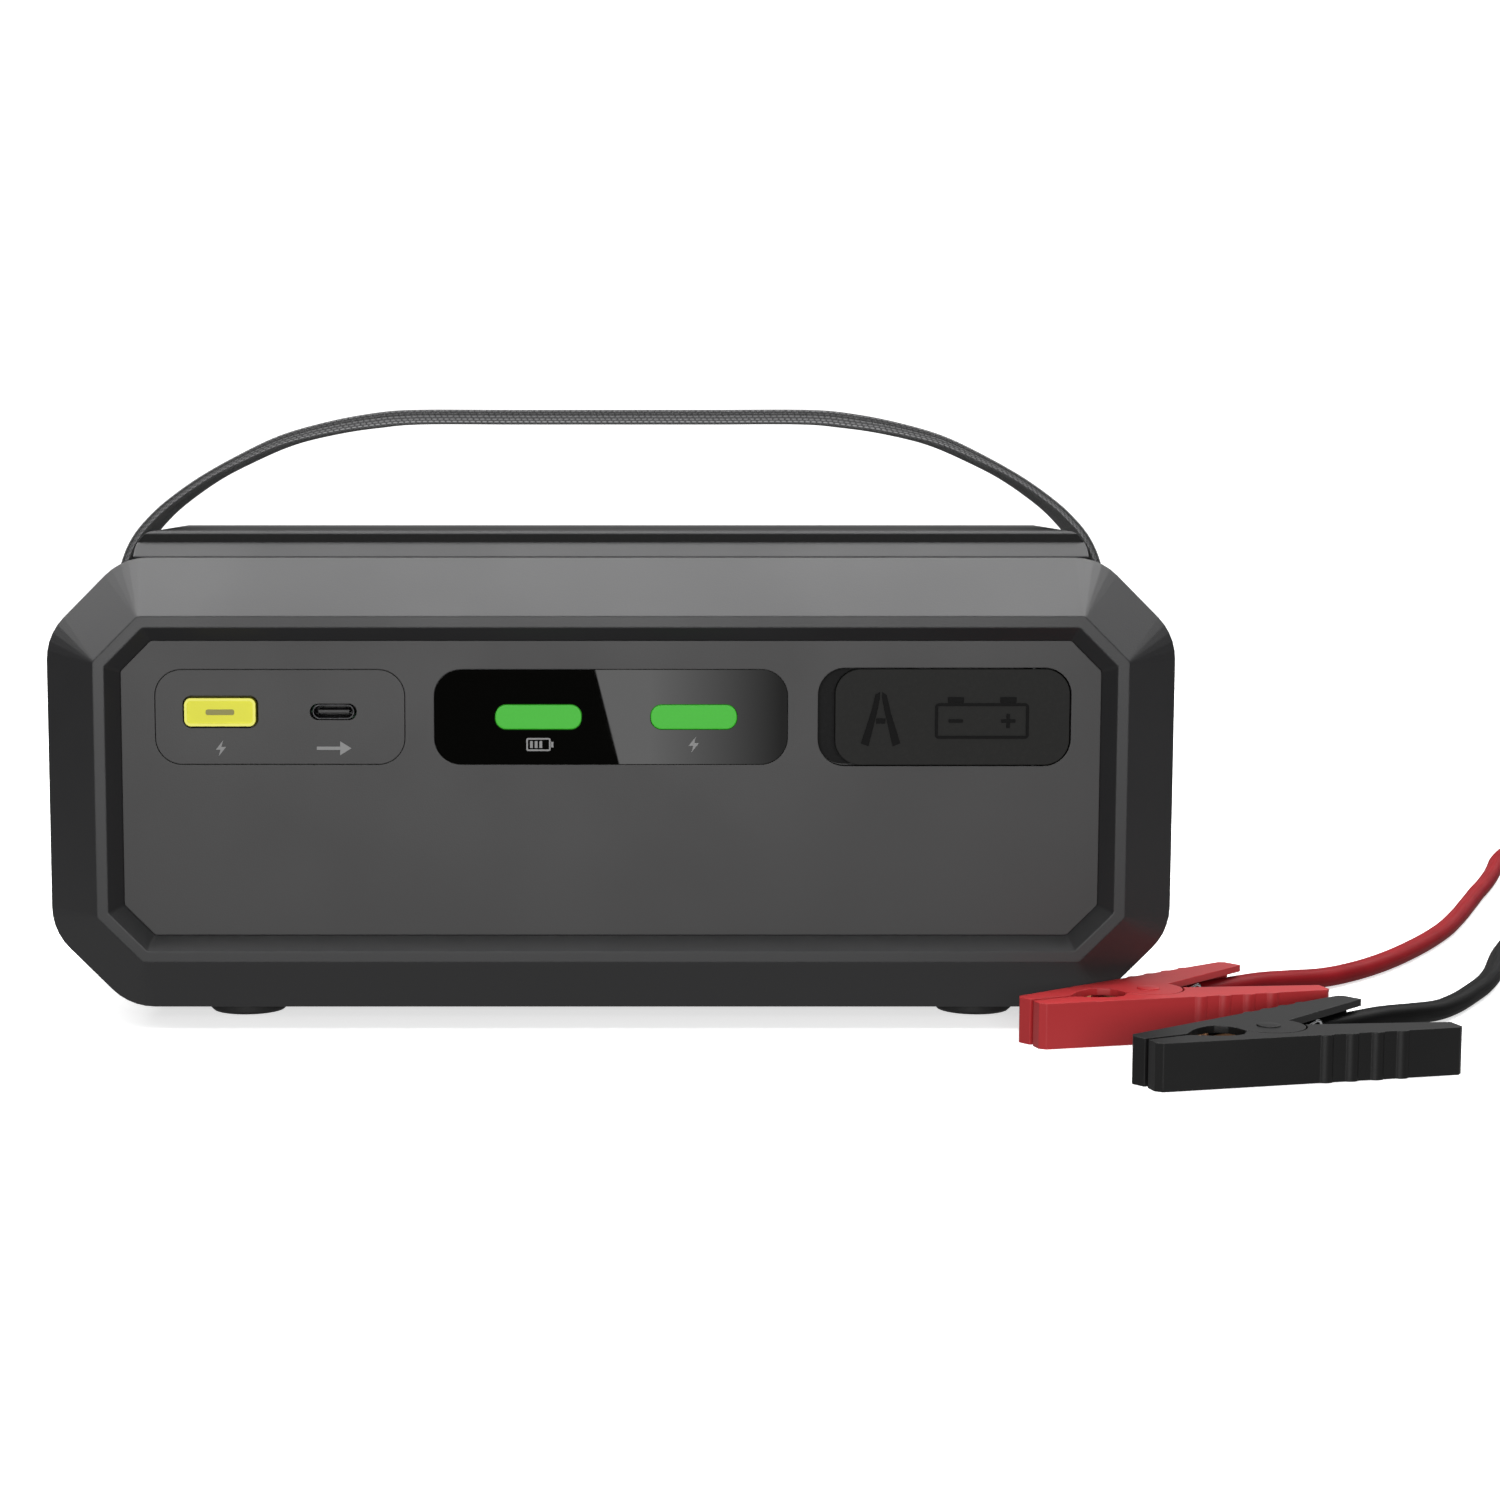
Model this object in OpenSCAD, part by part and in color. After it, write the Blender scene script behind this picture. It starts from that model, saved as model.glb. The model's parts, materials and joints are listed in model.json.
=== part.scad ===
// Handheld 12 V jump starter pack with a carry strap, a bank of capacitors inside and a
// loose pair of clamp leads that plug into its front socket.
// Origin on the floor under the middle of the pack, +X to the right seen from the front,
// +Y to the back, +Z up.  Millimetres.

/* [Case] */
// Width of the case
case_w = 244; // [220:1:300]
// Depth of the case from front ring to rear ring
case_d = 84; // [80:1:110]
// Height of the two shells, without the feet
case_h = 98.2; // [96:0.2:125]
// Height of the feet under the shells
foot_h = 2.4; // [1.5:0.1:5]
// Leg of the 45 degree corner facets
facet = 16.7; // [12:0.1:20]
// Radius that softens each facet's two edges
facet_r = 13; // [4:0.5:16]
// Width of the 45 degree bevel round the front and the back
bevel = 12; // [8:0.5:14]
// Wall thickness of the shells
wall = 3; // [2:0.1:3.5]
// Width of the flat ring inside the bevel
ring_w = 2.4; // [1.5:0.1:4]
// Depth of the recessed front and back faces behind the ring
recess = 3.5; // [2:0.1:5]
// Slope of the recess edge, measured across the face
recess_slope = 3; // [2:0.1:5]

/* [Front panel] */
// Thickness of the front panel
panel_t = 2.5; // [2:0.1:4]
// Height of the row of controls on the panel
row_h = 20.5; // [18:0.5:24]
// Height of that row's middle above the floor
row_z = 66.9; // [60:0.1:75]
// Corner radius of the inlaid plates
plate_r = 5.8; // [3:0.1:8]
// Thickness of the inlaid port plate
port_plate_t = 1.2; // [0.8:0.1:1.5]
// Width of the port plate
port_plate_w = 53.5; // [50:0.5:56]
// Width of the indicator window
window_w = 75.6; // [70:0.2:78]
// Thickness of the indicator window
window_t = 1.5; // [1:0.1:1.8]
// Width of the indicator lenses
lens_w = 18.4; // [12:0.1:22]
// Height of the indicator lenses
lens_h = 5.2; // [4:0.1:7]
// Width of the push button
button_w = 15.2; // [12:0.1:18]
// Height of the push button
button_h = 6; // [5:0.1:8]
// How far the push button stands out of the port plate
button_proud = 0.8; // [0.6:0.1:1.5]
// Travel of the push button
button_travel = 0.6; // [0.3:0.1:0.6]

/* [Output cover] */
// Width of the hinged rubber cover
cover_w = 50; // [46:0.5:52]
// Thickness of the cover
cover_t = 2.6; // [2:0.1:3]
// Width of the finger notch beside the cover
notch_w = 3.7; // [2:0.1:5]
// Distance from the cover's right end to its hinge
hinge_in = 7.5; // [7.2:0.1:9]
// Radius of the cover's hinge knuckle
knuckle_r = 1.7; // [1.5:0.1:2]
// Radius of the hinge pin
hinge_pin_r = 0.8; // [0.6:0.05:1]
// Distance between the two output contacts
contact_pitch = 12; // [11:0.5:13]
// Radius of the bore of each output contact
contact_bore_r = 2.5; // [2:0.05:3]
// Depth of that bore
contact_bore_len = 14; // [10:0.5:16]

/* [Deck and strap] */
// Height of the deck above the shells
deck_h = 5.6; // [4:0.1:8]
// Length of the rounded ramp at each end of the deck
deck_ramp = 4; // [3:0.1:20]
// Depth of the deck at its foot
deck_d = 58; // [50:1:60]
// Width of the strap webbing
strap_w = 25; // [20:1:30]
// Thickness of the doubled webbing
strap_t = 3; // [2:0.1:3.4]
// Rise of the strap's middle above the bars that hold it
strap_rise = 40.8; // [36:0.2:50]
// Radius of the steel bars that hold the strap
strap_bar_r = 2; // [1.5:0.1:2.4]

/* [Capacitor bank] */
// Number of capacitors
cell_count = 5; // [5:1:5]
// Diameter of a capacitor
cell_dia = 35; // [29:0.5:35]
// Length of a capacitor
cell_len = 60; // [50:0.5:60]
// Gap between two capacitors
cell_gap = 1.5; // [1:0.1:2]

/* [Lead set] */
// Diameter of the lead cables
cable_dia = 4.5; // [3.5:0.1:4.6]
// Height of a clamp, along its pivot
clamp_h = 9.6; // [9.2:0.1:12]
// Length of the jaws, from pivot to tip
jaw_len = 29; // [28:0.5:29]
// Length of the handles, from pivot to end
handle_len = 37; // [32:0.5:40]
// Distance from the pivot to a half's outer face
half_w = 11; // [10.6:0.1:13]
// Angle between the outer faces of the two halves
splay = 24; // [24:0.5:26]
// Thickness of a clamp half's top and bottom walls
clamp_wall = 1.5; // [1.2:0.1:1.6]
// Radius of the clamp's pivot pin
pivot_r = 1.5; // [1.2:0.1:1.6]

/* [Hidden] */

// Gap between parts laid in each other, running gap round a pin, gap of a screw in its
// thread, and the length by which a cut runs past a face
fit = 0.15;
run = 0.05;
thread = 0.02;
past = 1;
tiny = 0.01;

// Colours
case_grey = [0.2, 0.2, 0.2];
panel_grey = [0.31, 0.305, 0.31];
part_black = [0.1, 0.1, 0.1];
steel = [0.6, 0.61, 0.63];
copper = [0.75, 0.42, 0.25];
gold = [0.85, 0.68, 0.25];
board_green = [0.05, 0.25, 0.12];
connector_blue = [0.1, 0.25, 0.6];
clamp_red = [0.76, 0.16, 0.17];
clamp_black = [0.13, 0.13, 0.13];

// Faces of the case
front_y = -case_d / 2;
rear_y = case_d / 2;
bottom_z = foot_h;
top_z = foot_h + case_h;
middle_z = (bottom_z + top_z) / 2;
bevel_y = case_d / 2 - bevel;
panel_inset = bevel + ring_w + recess_slope;
panel_front_y = front_y + recess;
panel_back_y = panel_front_y + panel_t;
ledge_w = 2;
ledge_t = 1.5;
ledge_back_y = panel_back_y + ledge_t;
rear_face_t = 2.5;
rear_face_y = rear_y - recess;
rear_inside_y = rear_face_y - rear_face_t;
inner_slope = wall * sqrt(2);
edge_r = 1;

// Feet and their sockets
foot_r = 8.5;
foot_sink = 0.8;
foot_edge = 0.6;
foot_xs = [-80.6, 80.6];
foot_ys = [-19, 19];

// Screw posts that join the two shells
post_xs = [-case_w / 2 + 24, case_w / 2 - 24];
post_zs = [bottom_z + 23.6, top_z - 23.6];
post_r = 4;
post_floor = 3;
rib_t = 2.4;
screw_r = 1.5;
screw_head_r = 3;
screw_head_t = 1.9;
screw_end_y = -18;

// Pocket in each top corner that takes the end of the strap
pocket_x = case_w / 2 - 18.5;
pocket_w = 12;
pocket_z = top_z - 15.6;
pocket_d = strap_w + 3;
pocket_wall = 2.5;
bar_x = case_w / 2 - 11.8;
bar_z = top_z - 10.4;
bar_gap = 0.3;
bar_seat = 1.8;
loop_t = 1.4;

// Groove for the seal between the shells
seal_inset = 0.8;
seal_w = 1.4;
seal_t = 1.2;

// Places of the controls on the panel
row_z0 = row_z - row_h / 2;
row_z1 = row_z + row_h / 2;
control_z = row_z + 1.1;
port_x = -70.7;
button_x = port_x - 12.7;
button_r = 1.4;
button_gap = 0.45;
usb_x = port_x + 11.4;
usb_mouth = [10, 3.5];
usb_shell = [8.94, 3.16];
usb_shell_t = 0.3;
usb_tongue = [6.7, 0.7];
usb_root = [5.6, 2.4];
lens_xs = [-15.5, 17.7];
lens_r = lens_h / 2 - 0.1;
lens_deep = 5.3;

// Board behind the panel
board_t = 1.6;
board_front_y = panel_back_y + 5.5;
board_back_y = board_front_y + board_t;
board_xs = [-92, 43];
board_zs = [row_z - 19.4, row_z + 12.6];
board_post_xs = [board_xs[0] + 4, board_xs[1] - 5];
board_post_zs = [board_zs[0] + 3.5, board_zs[1] - 3.5];
board_post_r = 2.5;
small_screw_r = 1.1;
small_head_r = 2;
small_head_t = 1.3;
led = [3.4, 2.8];
led_t = 1.1;
led_pitch = 5.5;
buzzer_x = -42;
buzzer_r = 4.5;
buzzer_t = 4.2;

// Push button and its switch
flange_gap = 0.2;
flange_t = 1;
flange_rim = 1.2;
flange_back_y = panel_back_y + flange_gap + flange_t;
stem_r = 2.2;
stem_len = 0.3;
switch_w = 6;
switch_front_y = board_front_y - 2.8;
plunger_r = 1.7;
plunger_back_y = board_front_y - 1.5;

// Cover, the tub in the panel that it lies in, and its hinge
cover_x1 = 97.9;
cover_x0 = cover_x1 - cover_w;
cover_front_y = panel_front_y - 0.3;
cover_back_y = cover_front_y + cover_t;
cover_r = 5.4;
hinge_x = cover_x1 - hinge_in;
hinge_y = cover_front_y + knuckle_r;
hinge_pin_seat = 1.3;
tub_gap = 0.3;
swing_gap = 0.4;
tub_t = 1.6;
tub_x0 = cover_x0 - notch_w;
tub_x1 = cover_x1 + swing_gap;
tub_size = [tub_x1 - tub_x0, row_h + 2 * tub_gap];
tub_floor_y = cover_back_y + tub_gap;
tub_back_y = tub_floor_y + tub_t;
hinge_pocket_x = hinge_x - knuckle_r - tub_gap;
hinge_pocket_y = hinge_y + hinge_in + 1.5 * swing_gap;
hinge_wall_t = 1.2;

// Output socket
socket_x = 73;
contact_xs = [socket_x - contact_pitch / 2, socket_x + contact_pitch / 2];
nose = [contact_pitch + 12.4, 14];
nose_r = 1.5;
socket_flange = [nose.x + 2.2, nose.y + 4.6];
socket_flange_t = 2;
nose_front_y = tub_floor_y + 0.2;
socket_back_y = nose_front_y + 20.7;
contact_r = contact_bore_r + 0.8;
contact_front_y = nose_front_y + 0.8;
contact_bore_end_y = contact_front_y + contact_bore_len;
contact_end_y = socket_back_y + 3;
lip_r = contact_bore_r + 0.2;

// Capacitors
cell_pitch = cell_dia + cell_gap;
cell_z = bottom_z + wall + 3.1 + cell_dia / 2;
cell_front_y = -29;
cell_back_y = cell_front_y + cell_len;
cell_xs = [for (i = [0:cell_count - 1]) (i - (cell_count - 1) / 2) * cell_pitch];
bank_half_w = cell_xs[cell_count - 1] + cell_dia / 2;
pin_dxs = [-5, 5];
cell_pin_r = 0.8;
end_wall_t = 2.2;
end_wall_x = bank_half_w + 0.4;
end_wall_out_x = end_wall_x + end_wall_t;
saddle_gap = 0.3;
saddle_t = 3;
cradle_ys = [-24, 26];
retainer_ys = [-20, 26];
cradle_z0 = bottom_z + wall + 0.1;
cradle_top_z = cell_z - cell_dia / 2 + 5.5;
cradle_end_z = cell_z + 4;
retainer_z = cell_z + cell_dia / 2 + saddle_gap;
retainer_t = 2.2;
retainer_top_z = retainer_z + retainer_t;
power_half_w = contact_xs[1] + 9;
retainer_half_w = max(end_wall_out_x, power_half_w);
balance_y = cell_back_y + 1.4;
bar_y = balance_y + board_t;
// Clear of the case's inner slope at the board's lower edge
balance_half_h = min(cell_dia / 2 - 2.5, cell_z - bottom_z - inner_slope + bevel_y - bar_y - 0.5);
bar_t = 1.1;
bar_w = 6;

// Power board over the capacitors, and what stands on it
power_post_h = 4;
power_z = retainer_top_z + power_post_h;
power_top_z = power_z + board_t;
power_ys = [-18, 27];
power_post_xs = [-power_half_w + 4, power_half_w - 4];
power_post_ys = [-13, 21];
relay_at = [20, -10];
relay = [30, 28, 24];
inductor_at = [-22, 4];
inductor = [22, 22, 11];
inductor_across = 26;
sink_at = [-72, 10];
sink = [30, 3, 22];
fin_count = 6;
fin_t = 2;
fin_deep = 10;
transistor = [10, 4.5, 15];
transistor_xs = [-72, -60, -48];
ribbon_w = 16;
ribbon_x = -36;
ribbon_z = board_zs[0] + 6;
ribbon_plug_t = 3;

// Internal leads, from the back of a contact down to the power board
lead_r = 2.1;
lead_straight = 2.5;
lead_reach = 15;
lead_steps = 6;

// The lead set is laid out from the front right corner of the case
lead_at = [case_w / 2, front_y, 0];

// Clamps: place of the pivot and heading of each
red_clamp = [-7.5, -4, 26];
black_clamp = [9, -43, 26];
side_t = 1.8;
tip_len = 2.4;
ear_r = 7.2;
ear_gap = 0.2;
ear_clear_r = ear_r + 0.4;
inner_ear_t = 1.2;
inner_ear_r = 6.4;
inner_ear_zs = [clamp_wall + ear_gap, clamp_h - clamp_wall - ear_gap - inner_ear_t];
ridge_xs = [7, 12.5, 18, 23.5];
ridge_r = 1.9;
ridge_proud = 0.6;
tie_hole_r = 1;
jaw_t = 0.7;
jaw_back_y = half_w - side_t;
tooth_pitch = 1.9;
tooth_h = 0.7;
teeth = 9;
crimp_x = 9.2;
crimp_floor = 0.7;
crimp_len = 4.8;
crimp_r = cable_dia / 2 + 0.45;
cable_y = jaw_back_y - 2.8;
tail_h = 4.4;
spring_wire_r = 0.4;
spring_coil_r = 2.3;
spring_turns = 2;
rings_per_turn = 8;
bracket_x = 21;
bracket_y = 3.4;

// Inner edge of a clamp half: its distance from the pivot at points along the jaw, and
// the ends of its straight stretch along the handle
jaw_edge = [
    [-jaw_len, 6.75], [-19.5, 4.75], [-17.5, 5.4], [-15.5, 6.4], [-13, 7.1], [-10.5, 7.2],
    [-8.6, 6.6], [-7, 4.4], [-6.4, 0]
];
handle_edge = [[6.6, 0.8], [handle_len, half_w - 5.4]];

// Routes of the two lead cables, from the crimp in the clamp handle to the plug
red_route = [
    [-3.6, 7.2, 4.8], [6.3, 14.9, 4.8], [16.1, 22.6, 4.8], [24.5, 29.7, 4.5], [33, 37, 3.6],
    [42.3, 45, 2.6], [51, 53.5, 2.3], [59, 62.5, 2.3], [66.5, 72.5, 2.3], [73.5, 83, 2.3],
    [80, 93.5, 2.3], [86, 104, 2.3], [91.8, 115, 2.3], [97, 126, 2.3], [102, 137, 2.3],
    [107, 148.5, 2.3], [112, 160, 2.3], [116.5, 170.5, 2.3], [121.5, 181.5, 2.3],
    [126.5, 193, 2.3], [131.5, 205, 2.3], [136, 216.5, 2.3], [140.5, 227.5, 3],
    [146.5, 237.5, 4.2], [153.5, 245, 5.8], [161, 250, 7], [167, 250, 7]
];
black_route = [
    [12.9, -31.8, 4.8], [22.8, -24.1, 4.8], [32.6, -16.4, 4.8], [41.2, -9, 4.5],
    [49.5, -1.5, 3.6], [57.5, 7, 2.6], [64.5, 16.5, 2.3], [71, 27, 2.3], [77, 37.5, 2.3],
    [82.5, 49, 2.3], [87.3, 61, 2.3], [92, 73, 2.3], [97.3, 85, 2.3], [102.8, 97, 2.3],
    [108, 109, 2.3], [113, 121, 2.3], [118, 133, 2.3], [123, 145, 2.3], [128, 157, 2.3],
    [133, 169, 2.3], [137.5, 181, 2.3], [141.5, 193, 2.3], [145, 205, 2.4], [148, 216.5, 3.2],
    [151.5, 226, 4.6], [156.5, 233.5, 6], [162, 238, 7], [167, 238, 7]
];

// Plug at the end of the leads
plug_at = [167, 244, 7];
plug_len = 30;
plug_neck_len = 8;
plug_neck = [contact_pitch + cable_dia + 5, nose.y - 3.6];
plug_seat = 10;
plug_pin_r = contact_bore_r - 0.05;
plug_pin_len = 12;
plug_pin_nose = 0.8;

// Strap's centre line seen from the front: how far in from the bar and down from the
// strap's middle each point lies
strap_bends = [
    [88.2, 0], [66.7, 0], [57.2, 0.8], [47.7, 2.4], [37.2, 5.2], [27.2, 9.7], [19.2, 14.1],
    [11.9, 19.3], [7.9, 23], [5.2, 26.2], [3.2, 29.8], [1.6, 34.5], [0.5, 39]
];
strap_steps = 3;

// ---------------------------------------------------------------- shared shapes

function unit(angle) = [cos(angle), sin(angle)];
function turned(p, angle) = [p * [cos(angle), -sin(angle)], p * [sin(angle), cos(angle)]];
function bearing(p) = atan2(p.y, p.x);

// A list of points followed by their mirror image on the left, or below
function and_left(p) = concat(p, [for (i = [len(p) - 1:-1:0]) [-p[i].x, p[i].y]]);
function and_below(p) = concat(p, [for (i = [len(p) - 1:-1:0]) [p[i].x, -p[i].y]]);

// Corners of the case outline, drawn in by an inset, with its facet edges rounded
function outline(inset, r, steps = 5) =
    let (
        w = case_w / 2 - inset,
        h = case_h / 2 - inset,
        c = facet - inset * (2 - sqrt(2)),
        k = r * tan(22.5),
        side = [for (i = [0:steps]) [w - r, h - c - k] + r * unit(45 * i / steps)],
        top = [for (i = [0:steps]) [w - c - k, h - r] + r * unit(45 + 45 * i / steps)]
    )
    and_below(and_left(concat(side, top)));

// A flat shape drawn in X and Z, as a slab from y0 to y1
module slab(y0, y1) {
    translate([0, y1, 0]) rotate([90, 0, 0]) linear_extrude(y1 - y0) children();
}

// The case outline as a slab, or as a thin sheet that ends at y and lies on one side of it
module outline_slab(inset, r, y0, y1) {
    slab(y0, y1) translate([0, middle_z]) polygon(outline(inset, r));
}
module outline_sheet(inset, r, y, side) {
    outline_slab(inset, r, min(y, y + side * tiny), max(y, y + side * tiny));
}

// Rounded rectangle round the Y axis, from y0 to y1
module pad(size, r, y0, y1) {
    slab(y0, y1) {
        square([size.x, size.y - 2 * r], center = true);
        square([size.x - 2 * r, size.y], center = true);
        for (x = [r - size.x / 2, size.x / 2 - r]) for (z = [r - size.y / 2, size.y / 2 - r])
            translate([x, z]) circle(r, $fn = 48);
    }
}

// Cylinder along the Y axis, from y0 to y1, and an upright one
module rod(r, y0, y1) {
    translate([0, y0, 0]) rotate([-90, 0, 0]) cylinder(h = y1 - y0, r = r, $fn = 48);
}
module post(r, z0, z1, round = 48) {
    translate([0, 0, z0]) cylinder(h = z1 - z0, r = r, $fn = round);
}

// Block between two values on each axis
module block(xs, ys, zs) {
    translate([xs[0], ys[0], zs[0]]) cube([xs[1] - xs[0], ys[1] - ys[0], zs[1] - zs[0]]);
}

// A copy of the child at each X and Z, or at each X and Y
module at_xz(xs, zs) {
    for (x = xs) for (z = zs) translate([x, 0, z]) children();
}
module at_xy(xs, ys) {
    for (x = xs) for (y = ys) translate([x, y, 0]) children();
}

// The child and its mirror image on the left
module on_both_sides() {
    children();
    mirror([1, 0, 0]) children();
}

// Direction of a path at each of its points, and a normal carried along it without twist
function tangents(p) = [
    for (i = [0:len(p) - 1])
        let (d = p[min(i + 1, len(p) - 1)] - p[max(i - 1, 0)]) d / norm(d)
];
function carried(t, n, i = 0) =
    i == len(t) ? [] :
    let (m = n - (n * t[i]) * t[i], u = m / norm(m)) concat([u], carried(t, u, i + 1));

// Solid tube of radius r along a path
module tube(p, r, sides, up = [0, 0, 1]) {
    t = tangents(p);
    n = carried(t, up);
    last = (len(p) - 1) * sides;
    rings = [
        for (i = [0:len(p) - 1]) for (k = [0:sides - 1])
            let (a = unit(360 * (k + 0.5) / sides)) p[i] + r * (a.x * n[i] + a.y * cross(t[i], n[i]))
    ];
    walls = [
        for (i = [0:sides:last - sides]) for (k = [0:sides - 1])
            let (a = i + k, b = i + (k + 1) % sides) each [[a, a + sides, b], [b, a + sides, b + sides]]
    ];
    ends = [for (k = [1:sides - 2]) each [[0, k, k + 1], [last, last + k + 1, last + k]]];
    polyhedron(rings, concat(walls, ends));
}

// ---------------------------------------------------------------- case

// Solid outer form of one half of the case; side is -1 for the front and 1 for the rear
module outer_form(side) {
    hull() {
        outline_slab(0, facet_r, min(0, side * bevel_y), max(0, side * bevel_y));
        outline_sheet(bevel, 1.2, side * case_d / 2, -side);
    }
}

// Slope from the ring down to the recessed face
module recess_cut(side) {
    hull() {
        outline_sheet(bevel + ring_w, edge_r, side * case_d / 2, side);
        outline_sheet(panel_inset, edge_r, side * (case_d / 2 - recess), side);
    }
}

// Room inside one half, up to the given inner face
module cavity(side, inside_y) {
    straight_y = side * (bevel_y - inner_slope + wall);
    hull() {
        outline_slab(wall, facet_r - wall, min(straight_y, -side * tiny), max(straight_y, -side * tiny));
        outline_sheet(abs(inside_y) - bevel_y + inner_slope, 1.5, inside_y, -side);
    }
}

// Blocks round the strap pockets, and the pockets themselves
module pocket_blocks() {
    half_d = pocket_d / 2 + pocket_wall;
    on_both_sides()
        block([pocket_x - pocket_wall, case_w], [-half_d, half_d], [pocket_z - pocket_wall, top_z + past]);
}
module pockets() {
    half_d = pocket_d / 2;
    on_both_sides() block([pocket_x, pocket_x + pocket_w], [-half_d, half_d], [pocket_z, top_z + 2 * past]);
}
module bar_holes() {
    end_y = pocket_d / 2 + bar_seat + run;
    at_xz([-bar_x, bar_x], [bar_z]) rod(strap_bar_r + run, -end_y, end_y);
}
module foot_sockets() {
    at_xy(foot_xs, foot_ys) post(foot_r + fit, bottom_z - past, bottom_z + foot_sink, 64);
}

module front_shell() {
    post_y = screw_end_y - post_floor;
    color(case_grey) difference() {
        union() {
            difference() {
                outer_form(-1);
                cavity(-1, ledge_back_y);
            }
            intersection() {
                outer_form(-1);
                pocket_blocks();
            }
            at_xz(post_xs, post_zs) rod(post_r, post_y, 0);
            on_both_sides() at_xz([0], post_zs)
                block([post_xs[1], case_w / 2 - wall / 2], [post_y, 0], [-rib_t / 2, rib_t / 2]);
        }
        recess_cut(-1);
        outline_slab(panel_inset - fit, edge_r, panel_front_y - 2 * tiny, panel_back_y);
        outline_slab(panel_inset + ledge_w, edge_r, panel_back_y - tiny, ledge_back_y + tiny);
        pockets();
        bar_holes();
        foot_sockets();
        at_xz(post_xs, post_zs) rod(screw_r + thread, screw_end_y, past);
    }
}

module rear_shell() {
    color(case_grey) difference() {
        union() {
            difference() {
                outer_form(1);
                cavity(1, rear_inside_y);
            }
            intersection() {
                outer_form(1);
                pocket_blocks();
            }
            at_xz(post_xs, post_zs) rod(post_r, 0, rear_inside_y + tiny);
        }
        recess_cut(1);
        pockets();
        bar_holes();
        foot_sockets();
        seal_ring(fit / 2, seal_t);
        at_xz(post_xs, post_zs) {
            rod(screw_r + 0.2, -past, rear_face_y + past);
            rod(screw_head_r + 0.2, rear_face_y - screw_head_t - 0.2, rear_face_y + past);
        }
    }
}

// Ring that runs along the joint between the shells
module seal_ring(extra, depth) {
    inner = seal_inset + seal_w;
    difference() {
        outline_slab(seal_inset - extra, facet_r - seal_inset, 0, depth);
        outline_slab(inner + extra, facet_r - inner, -past, depth + past);
        pocket_blocks();
    }
}

module case_gasket() {
    color([0.08, 0.08, 0.08]) seal_ring(0, seal_t);
}

// Cross-slotted screws from the back
module case_screws() {
    head_y = rear_face_y - screw_head_t - 0.2;
    slot = [3.2, 1.3, 0.7];
    color(steel) at_xz(post_xs, post_zs) difference() {
        union() {
            rod(screw_r, screw_end_y + 1, head_y + 0.1);
            rod(screw_head_r, head_y, rear_face_y - 0.2);
        }
        for (size = [slot, [slot.z, slot.y, slot.x]])
            translate([-size.x / 2, rear_face_y - slot.y, -size.z / 2]) cube(size);
    }
}

module rubber_feet() {
    color([0.06, 0.06, 0.06]) at_xy(foot_xs, foot_ys) {
        cylinder(h = foot_edge, r1 = foot_r - foot_edge, r2 = foot_r, $fn = 64);
        post(foot_r, foot_edge, foot_h + foot_sink, 64);
    }
}

// Raised deck: a stepped section along X, cut by the outline of its rounded end ramps
module top_deck() {
    step_z = top_z + 0.57 * deck_h;
    deck_z = top_z + deck_h;
    half_d = deck_d / 2;
    foot_x = pocket_x - 0.4;
    top_x = foot_x - deck_ramp;
    section = [[half_d, top_z], [half_d - 3.4, step_z], [half_d - 3.4, deck_z - 0.6], [half_d - 4, deck_z]];
    end = [for (a = [0:15:90]) [top_x + deck_ramp * cos(a), top_z + 1 + (deck_h - 1) * sin(a)]];
    color([0.17, 0.17, 0.17]) intersection() {
        translate([-case_w / 2, 0, 0]) rotate([90, 0, 90]) linear_extrude(case_w) polygon(and_left(section));
        slab(-case_d / 2, case_d / 2) polygon(and_left(concat([[foot_x, top_z]], end)));
    }
}

// ---------------------------------------------------------------- strap

// Curve between the middle two of four points, at share s of the way
function between(a, b, c, d, s) =
    0.5 * (2 * b + (c - a) * s + (2 * a - 5 * b + 4 * c - d) * s * s + (3 * b - a - 3 * c + d) * s * s * s);
function smooth(p) = [
    for (i = [0:len(p) - 2]) for (j = [0:strap_steps - 1])
        between(p[max(i - 1, 0)], p[i], p[i + 1], p[min(i + 2, len(p) - 1)], j / strap_steps),
    p[len(p) - 1]
];
strap_points = [for (b = strap_bends) [b.x - bar_x, bar_z + strap_rise - b.y]];
strap_line = smooth(and_left([for (i = [len(strap_points) - 1:-1:0]) strap_points[i]]));
strap_across = [for (t = tangents([for (p = strap_line) [p.x, p.y, 0]])) [-t.y, t.x]];

module carry_strap() {
    last = len(strap_line) - 1;
    color([0.32, 0.32, 0.33]) difference() {
        union() {
            slab(-strap_w / 2, strap_w / 2) polygon(concat(
                [for (i = [0:last]) strap_line[i] + strap_across[i] * strap_t / 2],
                [for (i = [last:-1:0]) strap_line[i] - strap_across[i] * strap_t / 2]
            ));
            at_xz([-bar_x, bar_x], [bar_z]) rod(strap_bar_r + bar_gap + loop_t, -strap_w / 2, strap_w / 2);
        }
        at_xz([-bar_x, bar_x], [bar_z]) rod(strap_bar_r + bar_gap, -strap_w, strap_w);
    }
}

module strap_bars() {
    end_y = pocket_d / 2 + bar_seat;
    color(steel) at_xz([-bar_x, bar_x], [bar_z]) rod(strap_bar_r, -end_y, end_y);
}

// ---------------------------------------------------------------- front panel

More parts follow.
